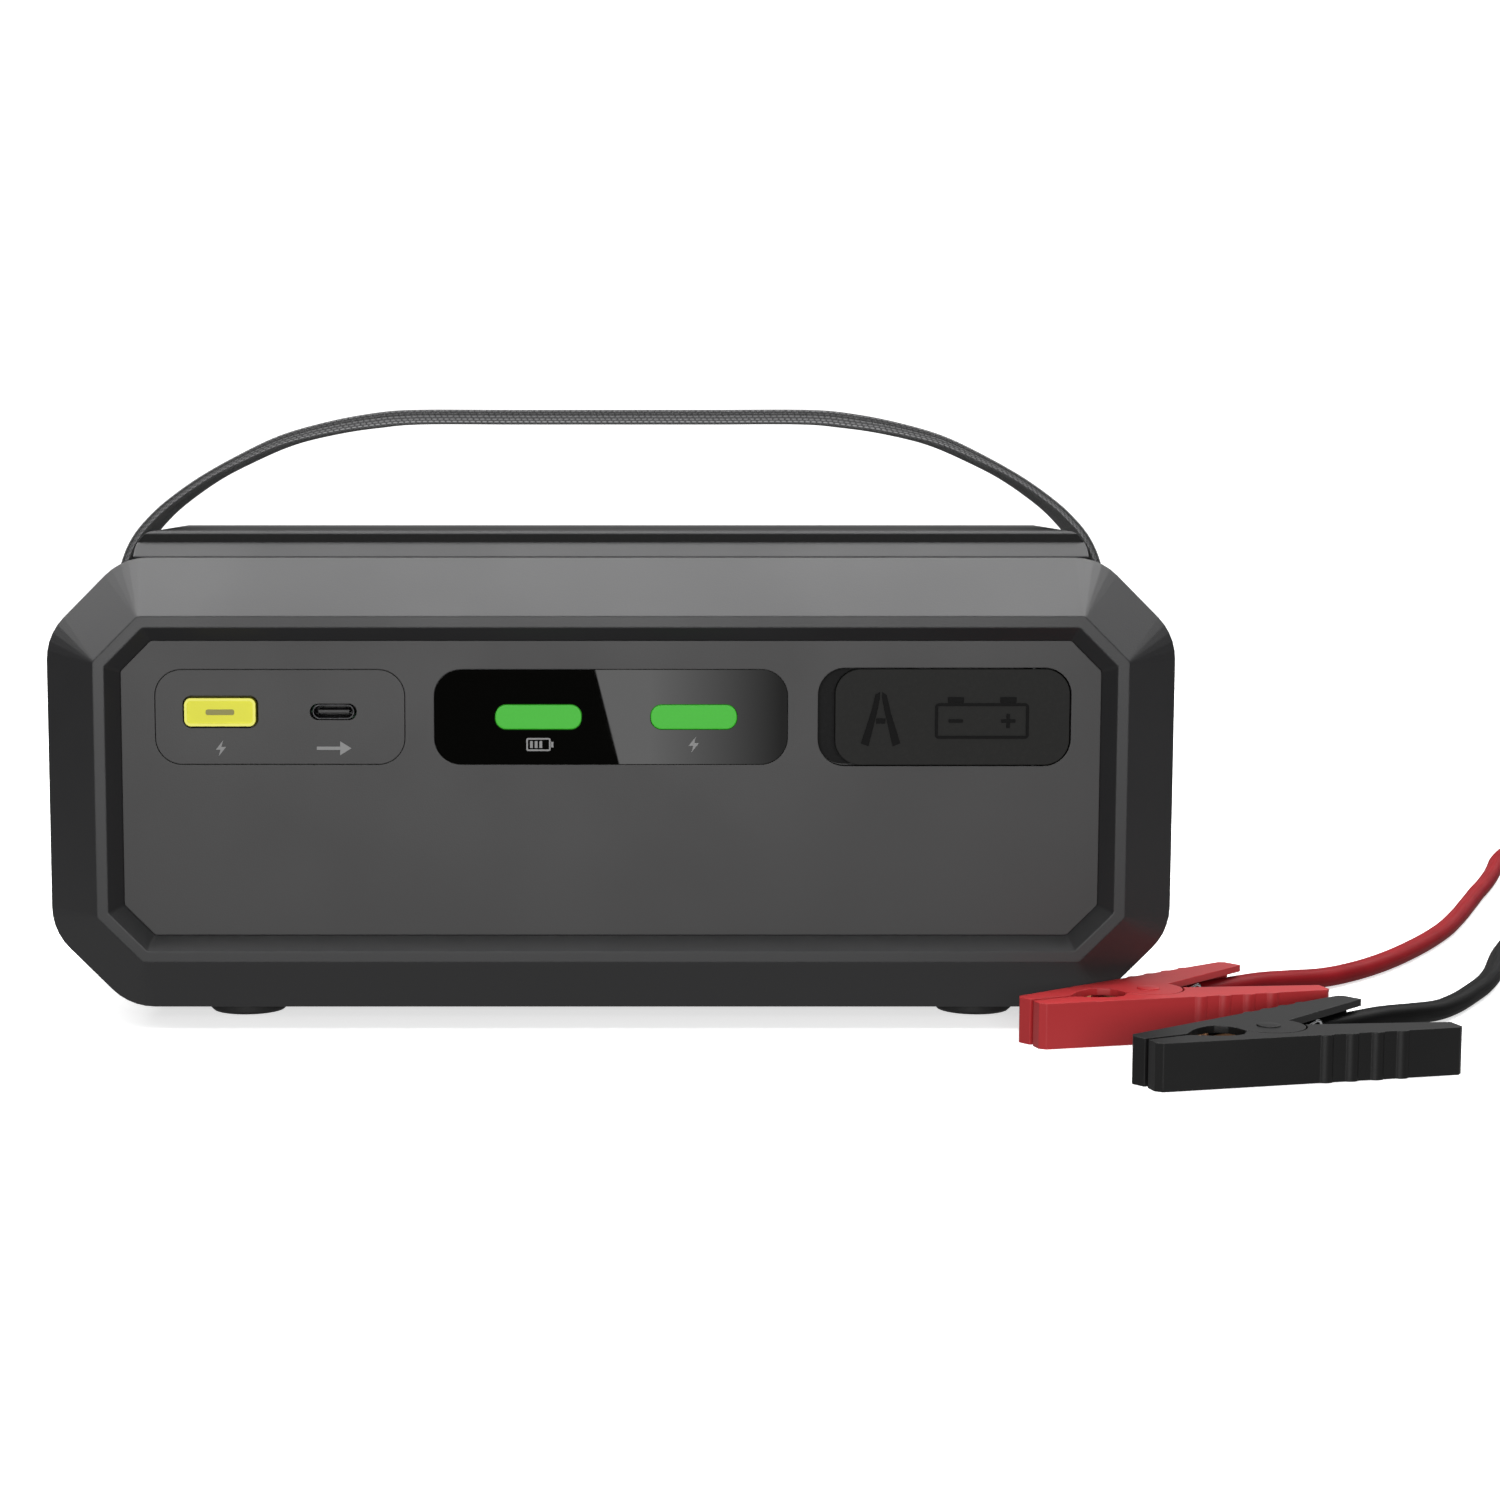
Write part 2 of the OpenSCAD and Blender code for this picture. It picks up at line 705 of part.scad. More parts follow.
// The tub's outline, grown by a margin
module tub_pad(margin, y0, y1) {
    at_xz([(tub_x0 + tub_x1) / 2], [row_z])
        pad([tub_size.x + 2 * margin, tub_size.y + 2 * margin], plate_r + margin, y0, y1);
}
module button_hole(y0, y1) {
    at_xz([button_x], [control_z])
        pad([button_w + 2 * button_gap, button_h + 2 * button_gap], button_r + button_gap, y0, y1);
}
module usb_hole(y0, y1) {
    at_xz([usb_x], [control_z]) pad(usb_mouth, usb_mouth.y / 2 - tiny, y0, y1);
}
module lens_holes(y0, y1) {
    at_xz(lens_xs, [row_z]) pad([lens_w + 2 * fit, lens_h + 2 * fit], lens_r, y0, y1);
}

module front_panel() {
    front = panel_front_y - past;
    back = panel_back_y + past;
    tall = [row_z0 - 5, row_z1 + 5];
    color(panel_grey) difference() {
        union() {
            outline_slab(panel_inset, edge_r, panel_front_y, panel_back_y);
            tub_pad(tub_t, panel_front_y + 1, hinge_pocket_y + hinge_wall_t);
            at_xz(board_post_xs, board_post_zs) rod(board_post_r, panel_back_y - 1, board_front_y);
        }
        at_xz([port_x], [row_z]) pad([port_plate_w, row_h], plate_r, front, panel_front_y + port_plate_t);
        at_xz([0], [row_z]) pad([window_w, row_h], plate_r, front, panel_front_y + window_t);
        button_hole(front, back);
        usb_hole(front, back);
        lens_holes(front, back);
        tub_pad(0, front, tub_floor_y);
        intersection() {
            tub_pad(0, front, hinge_pocket_y);
            block([hinge_pocket_x, tub_x1 + past], [front, hinge_pocket_y], tall);
        }
        // Away from the hinge pocket the tub is only as deep as its floor
        block([tub_x0 - 2 * tub_t, hinge_pocket_x - hinge_wall_t], [tub_back_y, hinge_pocket_y + 2], tall);
        at_xz([socket_x], [row_z])
            pad([nose.x + 2 * fit, nose.y + 2 * fit], nose_r, tub_floor_y - past, tub_back_y + past);
        translate([hinge_x, hinge_y, 0])
            post(hinge_pin_r + thread, row_z0 - hinge_pin_seat - run, row_z1 + hinge_pin_seat + run, 32);
        at_xz(board_post_xs, board_post_zs)
            rod(small_screw_r + thread, panel_back_y + 0.5, board_front_y + past);
    }
}

module port_plate() {
    size = [port_plate_w - 2 * fit, row_h - 2 * fit];
    color(panel_grey) difference() {
        at_xz([port_x], [row_z]) pad(size, plate_r - fit, panel_front_y, panel_front_y + port_plate_t);
        button_hole(panel_front_y - past, panel_back_y);
        usb_hole(panel_front_y - past, panel_back_y);
    }
}

module indicator_window() {
    size = [window_w - 2 * fit, row_h - 2 * fit];
    color([0.05, 0.05, 0.05]) difference() {
        at_xz([0], [row_z]) pad(size, plate_r - fit, panel_front_y, panel_front_y + window_t);
        lens_holes(panel_front_y - past, panel_back_y);
    }
}

module lens(x) {
    color([0.35, 0.75, 0.3]) at_xz([x], [row_z])
        pad([lens_w, lens_h], lens_r - fit, panel_front_y, panel_front_y + lens_deep);
}
module charging_lens() {
    lens(lens_xs[0]);
}
module start_lens() {
    lens(lens_xs[1]);
}

module usb_c_shell() {
    inner = usb_shell - 2 * usb_shell_t * [1, 1];
    color([0.55, 0.55, 0.56]) at_xz([usb_x], [control_z]) difference() {
        pad(usb_shell, usb_shell.y / 2 - tiny, panel_front_y + 0.2, board_front_y);
        pad(inner, inner.y / 2 - tiny, panel_front_y, board_front_y - usb_shell_t);
    }
}

module usb_c_tongue() {
    root_y = board_front_y - usb_shell_t - 1;
    color([0.3, 0.3, 0.31]) at_xz([usb_x], [control_z]) {
        block(usb_tongue.x * [-0.5, 0.5], [panel_front_y + 1.2, root_y], usb_tongue.y * [-0.5, 0.5]);
        block(usb_root.x * [-0.5, 0.5], [root_y, root_y + 1], usb_root.y * [-0.5, 0.5]);
    }
}

module boost_button() {
    flange_y = panel_back_y + flange_gap;
    color([0.93, 0.93, 0.35]) at_xz([button_x], [control_z]) {
        pad([button_w, button_h], button_r, panel_front_y - button_proud, flange_y);
        pad([button_w + 2 * flange_rim, button_h + 2 * flange_rim], button_r, flange_y, flange_back_y);
        rod(stem_r, flange_back_y, flange_back_y + stem_len);
    }
}

module switch_plunger() {
    color(part_black) at_xz([button_x], [control_z]) rod(plunger_r, flange_back_y + stem_len, plunger_back_y);
}

module button_switch() {
    color([0.5, 0.5, 0.5]) at_xz([button_x], [control_z]) difference() {
        block(switch_w * [-0.5, 0.5], [switch_front_y, board_front_y], switch_w * [-0.5, 0.5]);
        rod(plunger_r + 0.2, switch_front_y - past, plunger_back_y + button_travel + 0.1);
    }
}

module control_board() {
    color(board_green) difference() {
        block(board_xs, [board_front_y, board_back_y], board_zs);
        at_xz(board_post_xs, board_post_zs)
            rod(small_screw_r + fit, board_front_y - past, board_back_y + past);
    }
}

module board_screws() {
    color(steel) {
        at_xz(board_post_xs, board_post_zs) {
            rod(small_screw_r, panel_back_y + 1, board_back_y);
            rod(small_head_r, board_back_y, board_back_y + small_head_t);
        }
        at_xy(power_post_xs, power_post_ys) {
            post(small_screw_r, retainer_top_z + 1, power_top_z, 32);
            post(small_head_r, power_top_z, power_top_z + small_head_t, 32);
        }
    }
}

module indicator_leds() {
    color([0.9, 0.95, 0.85]) for (x = lens_xs) at_xz([x - led_pitch, x, x + led_pitch], [row_z])
        block(led.x * [-0.5, 0.5], [board_front_y - led_t, board_front_y], led.y * [-0.5, 0.5]);
}

module buzzer() {
    color(part_black) at_xz([buzzer_x], [board_zs[0] + 8])
        rod(buzzer_r, board_front_y - buzzer_t, board_front_y);
}

// Flat ribbon from the control board down to the power board, with a connector at each end
module signal_ribbon() {
    y0 = board_back_y + ribbon_plug_t;
    y1 = power_ys[0] + 2;
    z1 = power_top_z + ribbon_plug_t;
    plug_xs = [ribbon_x - 2, ribbon_x + ribbon_w + 2];
    color([0.75, 0.75, 0.72]) {
        block(plug_xs, [board_back_y, y0], [ribbon_z - 2, ribbon_z + 2]);
        translate([ribbon_x, 0, 0]) rotate([90, 0, 90]) linear_extrude(ribbon_w) polygon([
            [y0, ribbon_z - 0.4], [y0 + 3, ribbon_z - 0.4], [y1, z1],
            [y1 + 1, z1], [y0 + 3.6, ribbon_z + 0.6], [y0, ribbon_z + 0.6]
        ]);
        block(plug_xs, [y1 - 1, y1 + 3], [power_top_z, z1]);
    }
}

// ---------------------------------------------------------------- output cover and socket

module output_cover() {
    color([0.16, 0.16, 0.155]) difference() {
        union() {
            at_xz([cover_x1 - cover_w / 2], [row_z])
                pad([cover_w, row_h], cover_r, cover_front_y, cover_back_y);
            translate([hinge_x, hinge_y, 0]) post(knuckle_r, row_z0, row_z1, 64);
        }
        translate([hinge_x, hinge_y, 0]) post(hinge_pin_r + run, row_z0 - past, row_z1 + past, 32);
    }
}

module cover_hinge_pin() {
    color(steel) translate([hinge_x, hinge_y, 0])
        post(hinge_pin_r, row_z0 - hinge_pin_seat, row_z1 + hinge_pin_seat, 32);
}

module output_socket() {
    color(connector_blue) difference() {
        at_xz([socket_x], [row_z]) {
            pad(nose, nose_r, nose_front_y, socket_back_y);
            pad(socket_flange, 2, tub_back_y, tub_back_y + socket_flange_t);
        }
        at_xz(contact_xs, [row_z]) {
            rod(lip_r, nose_front_y - past, contact_front_y + past);
            rod(contact_r, contact_front_y, socket_back_y + past);
        }
    }
}

module socket_contacts() {
    color(gold) at_xz(contact_xs, [row_z]) difference() {
        rod(contact_r, contact_front_y, contact_end_y);
        rod(contact_bore_r, contact_front_y - past, contact_bore_end_y);
    }
}

// Straight out of the contact, over a quarter turn and straight down to the board
module socket_lead(x) {
    y0 = contact_end_y + lead_straight;
    z0 = power_top_z + lead_straight;
    bend = [for (i = [0:lead_steps]) unit(90 * i / lead_steps)];
    tube(concat(
        [[x, contact_end_y, row_z]],
        [for (b = bend) [x, y0 + lead_reach * b.y, z0 + (row_z - z0) * b.x]],
        [[x, y0 + lead_reach, power_top_z]]
    ), lead_r, 8, [1, 0, 0]);
}
module socket_lead_positive() {
    color([0.7, 0.1, 0.1]) socket_lead(contact_xs[1]);
}
module socket_lead_negative() {
    color([0.08, 0.08, 0.08]) socket_lead(contact_xs[0]);
}

// ---------------------------------------------------------------- capacitor bank

module cell_bores() {
    at_xz(cell_xs, [cell_z]) rod(cell_dia / 2 + saddle_gap, -case_d, case_d);
}

module cell_cradle() {
    color([0.12, 0.12, 0.12]) difference() {
        union() {
            block(end_wall_out_x * [-1, 1], cradle_ys, [cradle_z0, cradle_top_z]);
            on_both_sides() block([end_wall_x, end_wall_out_x], cradle_ys, [cradle_z0, cradle_end_z]);
        }
        cell_bores();
    }
}

module cell_retainer() {
    color([0.12, 0.12, 0.12]) difference() {
        union() {
            block(retainer_half_w * [-1, 1], retainer_ys, [retainer_z - saddle_t, retainer_top_z]);
            on_both_sides() block([end_wall_x, end_wall_out_x], retainer_ys, [cradle_end_z, retainer_z]);
            at_xy(power_post_xs, power_post_ys) post(board_post_r, retainer_top_z - 1, power_z);
        }
        cell_bores();
        at_xy(power_post_xs, power_post_ys)
            post(small_screw_r + thread, retainer_top_z + 0.5, power_z + past, 32);
    }
}

// Can with a crimped groove near its back end, and two pins
module capacitor(i) {
    r = cell_dia / 2;
    len = cell_len;
    groove = [[r, len - 6], [r - 0.8, len - 5], [r - 0.8, len - 4.4], [r, len - 3.4]];
    profile = concat([[0, 0], [r - 1, 0], [r, 1]], groove, [[r, len - 0.8], [r - 1, len], [0, len]]);
    color([0.1, 0.12, 0.3]) at_xz([cell_xs[i - 1]], [cell_z]) {
        translate([0, cell_front_y, 0]) rotate([-90, 0, 0]) rotate_extrude($fn = 72) polygon(profile);
        at_xz(pin_dxs, [0]) rod(cell_pin_r, cell_back_y - 1, bar_y);
    }
}
module capacitor_1() {
    capacitor(1);
}
module capacitor_2() {
    capacitor(2);
}
module capacitor_3() {
    capacitor(3);
}
module capacitor_4() {
    capacitor(4);
}
module capacitor_5() {
    capacitor(5);
}

module balance_board() {
    color(board_green) difference() {
        block(bank_half_w * [-1, 1], [balance_y, bar_y], [cell_z - balance_half_h, cell_z + balance_half_h]);
        for (x = cell_xs) at_xz([x + pin_dxs[0], x + pin_dxs[1]], [cell_z])
            rod(cell_pin_r + 0.1, balance_y - past, bar_y + past);
    }
}

// Copper links that join the cells in a row, and an end bar up to the power board at each end
module bus_bars() {
    ys = [bar_y, bar_y + bar_t];
    half_w = bar_w / 2;
    end_x = cell_xs[cell_count - 1] + pin_dxs[1];
    end_xs = [end_x - half_w, end_x + half_w];
    color(copper) {
        for (i = [0:cell_count - 2]) block(
            [cell_xs[i] + pin_dxs[1] - half_w, cell_xs[i + 1] + pin_dxs[0] + half_w], ys,
            [cell_z - half_w, cell_z + half_w]
        );
        on_both_sides() {
            block(end_xs, ys, [cell_z - half_w, power_top_z + bar_t]);
            block(end_xs, [power_ys[1] - 3.5, ys[1]], [power_top_z, power_top_z + bar_t]);
        }
    }
}

module power_board() {
    color(board_green) difference() {
        block(power_half_w * [-1, 1], power_ys, [power_z, power_top_z]);
        at_xy(power_post_xs, power_post_ys) post(small_screw_r + fit, power_z - past, power_top_z + past, 32);
    }
}

module power_relay() {
    color(part_black) translate([relay_at.x, relay_at.y, power_top_z]) cube(relay);
}

// Square core with its corners cut off
module boost_inductor() {
    half = inductor_across / 2 * [-1, 1];
    color([0.25, 0.25, 0.26]) translate([inductor_at.x, inductor_at.y, power_top_z]) intersection() {
        translate([-inductor.x / 2, -inductor.y / 2, 0]) cube(inductor);
        rotate([0, 0, 45]) block(half, half, [-past, inductor.z + past]);
    }
}

// Finned heat sink, with the transistors flat against its foot
module heat_sink() {
    fin_pitch = (sink.x - fin_t) / (fin_count - 1);
    color([0.65, 0.66, 0.68]) translate([sink_at.x, sink_at.y, power_top_z]) {
        cube(sink);
        for (i = [0:fin_count - 1]) translate([fin_pitch * i, sink.y, 0]) cube([fin_t, fin_deep, sink.z]);
    }
}

module power_transistors() {
    color([0.12, 0.12, 0.12]) for (x = transistor_xs)
        translate([x, sink_at.y - transistor.y, power_top_z]) cube(transistor);
}

// ---------------------------------------------------------------- lead set

// A child drawn along Z, put along each of the plug's two pins
module at_plug_pins() {
    for (y = contact_pitch * [-0.5, 0.5]) translate(lead_at + plug_at + [plug_len - plug_seat, y, 0])
        rotate([0, 90, 0]) children();
}

module plug_housing() {
    color(connector_blue) difference() {
        translate(lead_at + plug_at) {
            block([plug_neck_len, plug_len], nose.x * [-0.5, 0.5], nose.y * [-0.5, 0.5]);
            block([0, plug_neck_len], plug_neck.x * [-0.5, 0.5], plug_neck.y * [-0.5, 0.5]);
        }
        at_plug_pins() post(contact_r + thread, 0, plug_seat + past);
    }
}

module plug_pins() {
    straight = plug_seat + plug_pin_len - plug_pin_nose;
    color(gold) at_plug_pins() {
        post(contact_r, 0, plug_seat - 0.5);
        post(plug_pin_r, 0, straight);
        translate([0, 0, straight])
            cylinder(h = plug_pin_nose, r1 = plug_pin_r, r2 = plug_pin_r - plug_pin_nose, $fn = 48);
    }
}

module red_cable() {
    color([0.66, 0.12, 0.14]) translate(lead_at) tube(red_route, cable_dia / 2, 10);
}
module black_cable() {
    color([0.07, 0.07, 0.07]) translate(lead_at) tube(black_route, cable_dia / 2, 10);
}

// Puts a child, drawn round a clamp's pivot, where the clamp lies
module at_clamp(place) {
    translate(lead_at + [place.x, place.y, 0]) rotate([0, 0, place.z]) children();
}

// The same for a child drawn in a half's own frame; side is 1 for the rear half
module in_half(place, side) {
    at_clamp(place) mirror([0, side > 0 ? 0 : 1, 0]) rotate([0, 0, splay / 2]) children();
}

module half_outline() {
    polygon(concat(
        [[-jaw_len, half_w - 1.2], [-jaw_len + 1.2, half_w]],
        [[handle_len - 1, half_w], [handle_len, half_w - 1]],
        [handle_edge[1], handle_edge[0]],
        [for (i = [len(jaw_edge) - 1:-1:0]) jaw_edge[i]]
    ));
    circle(ear_r, $fn = 64);
}

// Channel of one half: top and bottom walls, outer wall, a solid tip and ridges for the fingers
module half_channel() {
    roof_z = clamp_h - clamp_wall;
    difference() {
        linear_extrude(clamp_h) half_outline();
        block([-jaw_len + tip_len, handle_len + past], [-half_w, jaw_back_y], [clamp_wall, roof_z]);
    }
    intersection() {
        at_xy(ridge_xs, [half_w + ridge_proud - ridge_r]) post(ridge_r, 0, clamp_h, 32);
        block([0, handle_len], [jaw_back_y + 0.2, half_w + past], [0, clamp_h]);
    }
}

module rear_half(place) {
    tie_z = clamp_h - clamp_wall - 1.2;
    in_half(place, 1) difference() {
        half_channel();
        post(pivot_r + tiny, -past, clamp_h + past);
        // Hole for a tie through the outer wall, near the end of the handle
        at_xz([handle_len - 4], [tie_z]) rod(tie_hole_r, jaw_back_y - past, half_w + past);
    }
}

// The front half has its own ears, which lie inside the rear half's top and bottom walls
module front_half(place) {
    in_half(place, -1) {
        difference() {
            half_channel();
            post(ear_clear_r, -past, clamp_h + past, 64);
        }
        for (z = inner_ear_zs) difference() {
            translate([0, 0, z]) linear_extrude(inner_ear_t) {
                circle(inner_ear_r, $fn = 64);
                translate([-inner_ear_r, 0]) square([2 * inner_ear_r, jaw_back_y + 0.1]);
            }
            post(pivot_r + run, z - past, z + inner_ear_t + past);
        }
    }
}

module clamp_pin(place) {
    color(steel) at_clamp(place) post(pivot_r, 0.2, clamp_h - 0.2);
}

// Stamped copper jaw: a strip along the outer wall with two toothed flanges
module clamp_jaw(place, side) {
    x0 = -jaw_len + tip_len;
    x1 = x0 + tooth_pitch * teeth;
    roof_z = clamp_h - clamp_wall;
    edge = [
        for (i = [0:2 * teeth])
            let (x = x0 + i * tooth_pitch / 2) [x, lookup(x, jaw_edge) + 0.3 - (i % 2) * tooth_h]
    ];
    color(copper) in_half(place, side) {
        block([x0, x1], [jaw_back_y - jaw_t, jaw_back_y], [clamp_wall, roof_z]);
        for (z = [clamp_wall, roof_z - jaw_t]) translate([0, 0, z])
            linear_extrude(jaw_t) polygon(concat([[x1, jaw_back_y], [x0, jaw_back_y]], edge));
        if (side > 0) crimp(x1);
    }
}

// The rear jaw's strip runs back past the pivot to a barrel that is crimped on the cable's end
module crimp(strip_x) {
    half_h = tail_h / 2;
    translate([0, 0, clamp_h / 2]) difference() {
        union() {
            block([strip_x - 1, crimp_x + crimp_len], [jaw_back_y - jaw_t, jaw_back_y], [-half_h, half_h]);
            barrel(crimp_x, crimp_r);
        }
        barrel(crimp_x + crimp_floor, cable_dia / 2 + run);
    }
}
module barrel(x, r) {
    translate([x, cable_y, 0]) rotate([0, 90, 0]) cylinder(h = crimp_len, r = r, $fn = 40);
}

// Torsion spring: a leg against the front half's wall, turns round the pin, and a leg along
// the rear half's channel that ends in a bracket in front of the cable
spring_z0 = inner_ear_zs[0] + inner_ear_t + 0.2 + spring_wire_r;
spring_z1 = inner_ear_zs[1] - 0.2 - spring_wire_r;
spring_rear = turned([14, 2.9], splay / 2);
spring_front = turned([17, spring_wire_r + 0.3 - jaw_back_y], -splay / 2);
coil_from = bearing(spring_front) - acos(spring_coil_r / norm(spring_front));
coil_to = bearing(spring_rear) + acos(spring_coil_r / norm(spring_rear)) - 360 * spring_turns;
coil_rings = round((coil_from - coil_to) / 360 * rings_per_turn);
spring_coil = [
    for (i = [0:coil_rings])
        let (s = i / coil_rings, p = spring_coil_r * unit(coil_from + s * (coil_to - coil_from)))
        [p.x, p.y, spring_z0 + s * (spring_z1 - spring_z0)]
];
bracket_z0 = clamp_wall + spring_wire_r + 0.1;
bracket_z1 = clamp_h - clamp_wall - spring_wire_r - 0.1;
bracket = [
    [14, 2.9, spring_z1], [17, bracket_y, bracket_z1 - 0.7], [bracket_x - 1.4, bracket_y, bracket_z1],
    [bracket_x - 0.4, bracket_y, bracket_z1 - 0.3], [bracket_x, bracket_y, bracket_z1 - 1.2],
    [bracket_x, bracket_y, bracket_z0 + 1.2], [bracket_x - 0.4, bracket_y, bracket_z0 + 0.3],
    [bracket_x - 1.4, bracket_y, bracket_z0], [16, bracket_y, bracket_z0]
];
spring_path = concat(
    [[spring_front.x, spring_front.y, spring_z0]], spring_coil,
    [for (p = bracket) let (q = turned([p.x, p.y], splay / 2)) [q.x, q.y, p.z]]
);
spring_gap = min([
    for (i = [0:coil_rings]) for (j = [i + rings_per_turn - 2:1:coil_rings])
        norm(spring_coil[i] - spring_coil[j]) - 2 * spring_wire_r
]);
echo(spring_gap_mm = spring_gap);

module clamp_spring(place) {
    color([0.75, 0.76, 0.78]) at_clamp(place) tube(spring_path, spring_wire_r, 6);
}

module red_clamp_rear_half() {
    color(clamp_red) rear_half(red_clamp);
}
module red_clamp_front_half() {
    color(clamp_red) front_half(red_clamp);
}
module red_clamp_pin() {
    clamp_pin(red_clamp);
}
module red_clamp_spring() {
    clamp_spring(red_clamp);
}
module red_jaw_rear() {
    clamp_jaw(red_clamp, 1);
}
module red_jaw_front() {
    clamp_jaw(red_clamp, -1);
}
module black_clamp_rear_half() {
    color(clamp_black) rear_half(black_clamp);
}
module black_clamp_front_half() {
    color(clamp_black) front_half(black_clamp);
}
module black_clamp_pin() {
    clamp_pin(black_clamp);
}
module black_clamp_spring() {
    clamp_spring(black_clamp);
}
module black_jaw_rear() {
    clamp_jaw(black_clamp, 1);
}
module black_jaw_front() {
    clamp_jaw(black_clamp, -1);
}

front_shell();
rear_shell();
case_gasket();
case_screws();
rubber_feet();
top_deck();
carry_strap();
strap_bars();
front_panel();
port_plate();
indicator_window();
charging_lens();
start_lens();
usb_c_shell();
usb_c_tongue();
boost_button();
switch_plunger();
button_switch();
control_board();
board_screws();
indicator_leds();
buzzer();
signal_ribbon();
output_cover();
cover_hinge_pin();
output_socket();
socket_contacts();
socket_lead_positive();
socket_lead_negative();
cell_cradle();
cell_retainer();
capacitor_1();
capacitor_2();
capacitor_3();
capacitor_4();
capacitor_5();
balance_board();
bus_bars();
power_board();
power_relay();
boost_inductor();
heat_sink();
power_transistors();
plug_housing();
plug_pins();
red_cable();
black_cable();
red_clamp_rear_half();
red_clamp_front_half();
red_clamp_pin();
red_clamp_spring();
red_jaw_rear();
red_jaw_front();
black_clamp_rear_half();
black_clamp_front_half();
black_clamp_pin();
black_clamp_spring();
black_jaw_rear();
black_jaw_front();
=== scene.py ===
"""Portable jump starter pack with a clamp lead set, finished over its CAD frame."""

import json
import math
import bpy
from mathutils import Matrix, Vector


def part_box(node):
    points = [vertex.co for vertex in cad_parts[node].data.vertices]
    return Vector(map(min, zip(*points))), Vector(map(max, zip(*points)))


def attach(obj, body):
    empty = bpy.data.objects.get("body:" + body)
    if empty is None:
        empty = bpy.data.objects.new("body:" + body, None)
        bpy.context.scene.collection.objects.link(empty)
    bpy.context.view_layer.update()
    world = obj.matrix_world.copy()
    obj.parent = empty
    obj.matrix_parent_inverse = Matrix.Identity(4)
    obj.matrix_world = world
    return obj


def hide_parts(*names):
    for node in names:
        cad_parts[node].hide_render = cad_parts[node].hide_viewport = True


bl_info = {
    "name": "Jump Starter Pack",
    "version": (1, 0, 0),
    "blender": (4, 5, 0),
    "location": "View3D > Sidebar > Jump Starter",
    "description": "Finishes a jump starter pack, its strap and its clamp leads, in a pale studio",
    "category": "Object",
}

import bmesh
import bpy
from bpy.props import FloatProperty, FloatVectorProperty, IntProperty, PointerProperty
from bpy.types import Operator, Panel, PropertyGroup
from mathutils import Matrix, Vector

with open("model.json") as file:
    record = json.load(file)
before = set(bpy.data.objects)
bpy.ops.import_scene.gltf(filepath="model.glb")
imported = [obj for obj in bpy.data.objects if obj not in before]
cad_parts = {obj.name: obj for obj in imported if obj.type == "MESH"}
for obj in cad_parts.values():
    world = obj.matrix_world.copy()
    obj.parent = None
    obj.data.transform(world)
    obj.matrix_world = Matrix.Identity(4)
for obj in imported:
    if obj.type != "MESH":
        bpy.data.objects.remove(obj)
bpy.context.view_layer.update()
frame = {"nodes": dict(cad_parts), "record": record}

MM = 0.001
FACING_FRONT = Matrix.Rotation(math.pi / 2, 4, "X")
UPWARDS = Vector((0, 0, 1))


def middle_of(node):
    """Middle of the box round a CAD node"""
    low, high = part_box(node)
    return (low + high) / 2


def front_of(node):
    """Where a CAD node's front face lies along Y"""
    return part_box(node)[0].y


# Routes of the two lead cables, from the crimp in a clamp's handle to the plug
RED_ROUTE = (
    (0.1184, -0.0348, 0.0048), (0.1283, -0.0271, 0.0048), (0.1381, -0.0194, 0.0048),
    (0.1465, -0.0123, 0.0045), (0.155, -0.005, 0.0036), (0.1643, 0.003, 0.0026),
    (0.173, 0.0115, 0.0023), (0.181, 0.0205, 0.0023), (0.1885, 0.0305, 0.0023),
    (0.1955, 0.041, 0.0023), (0.202, 0.0515, 0.0023), (0.208, 0.062, 0.0023),
    (0.2138, 0.073, 0.0023), (0.219, 0.084, 0.0023), (0.224, 0.095, 0.0023),
    (0.229, 0.1065, 0.0023), (0.234, 0.118, 0.0023), (0.2385, 0.1285, 0.0023),
    (0.2435, 0.1395, 0.0023), (0.2485, 0.151, 0.0023), (0.2535, 0.163, 0.0023),
    (0.258, 0.1745, 0.0023), (0.2625, 0.1855, 0.003), (0.2685, 0.1955, 0.0042),
    (0.2755, 0.203, 0.0058), (0.283, 0.208, 0.007), (0.289, 0.208, 0.007),
)
BLACK_ROUTE = (
    (0.1349, -0.0738, 0.0048), (0.1448, -0.0661, 0.0048), (0.1546, -0.0584, 0.0048),
    (0.1632, -0.051, 0.0045), (0.1715, -0.0435, 0.0036), (0.1795, -0.035, 0.0026),
    (0.1865, -0.0255, 0.0023), (0.193, -0.015, 0.0023), (0.199, -0.0045, 0.0023),
    (0.2045, 0.007, 0.0023), (0.2093, 0.019, 0.0023), (0.214, 0.031, 0.0023),
    (0.2193, 0.043, 0.0023), (0.2248, 0.055, 0.0023), (0.23, 0.067, 0.0023),
    (0.235, 0.079, 0.0023), (0.24, 0.091, 0.0023), (0.245, 0.103, 0.0023),
    (0.25, 0.115, 0.0023), (0.255, 0.127, 0.0023), (0.2595, 0.139, 0.0023),
    (0.2635, 0.151, 0.0023), (0.267, 0.163, 0.0024), (0.27, 0.1745, 0.0032),
    (0.2735, 0.184, 0.0046), (0.2785, 0.1915, 0.006), (0.284, 0.196, 0.007),
    (0.289, 0.196, 0.007),
)

# Right half of the strap's centre line, seen from the front
STRAP_LINE = (
    (0.0, 0.131), (0.022, 0.131), (0.0435, 0.131), (0.053, 0.1302), (0.0625, 0.1286),
    (0.073, 0.1258), (0.083, 0.1213), (0.091, 0.1169), (0.0983, 0.1117), (0.1023, 0.108),
    (0.105, 0.1048), (0.107, 0.1012), (0.1086, 0.0965), (0.1097, 0.092),
)


# ---------------------------------------- settings


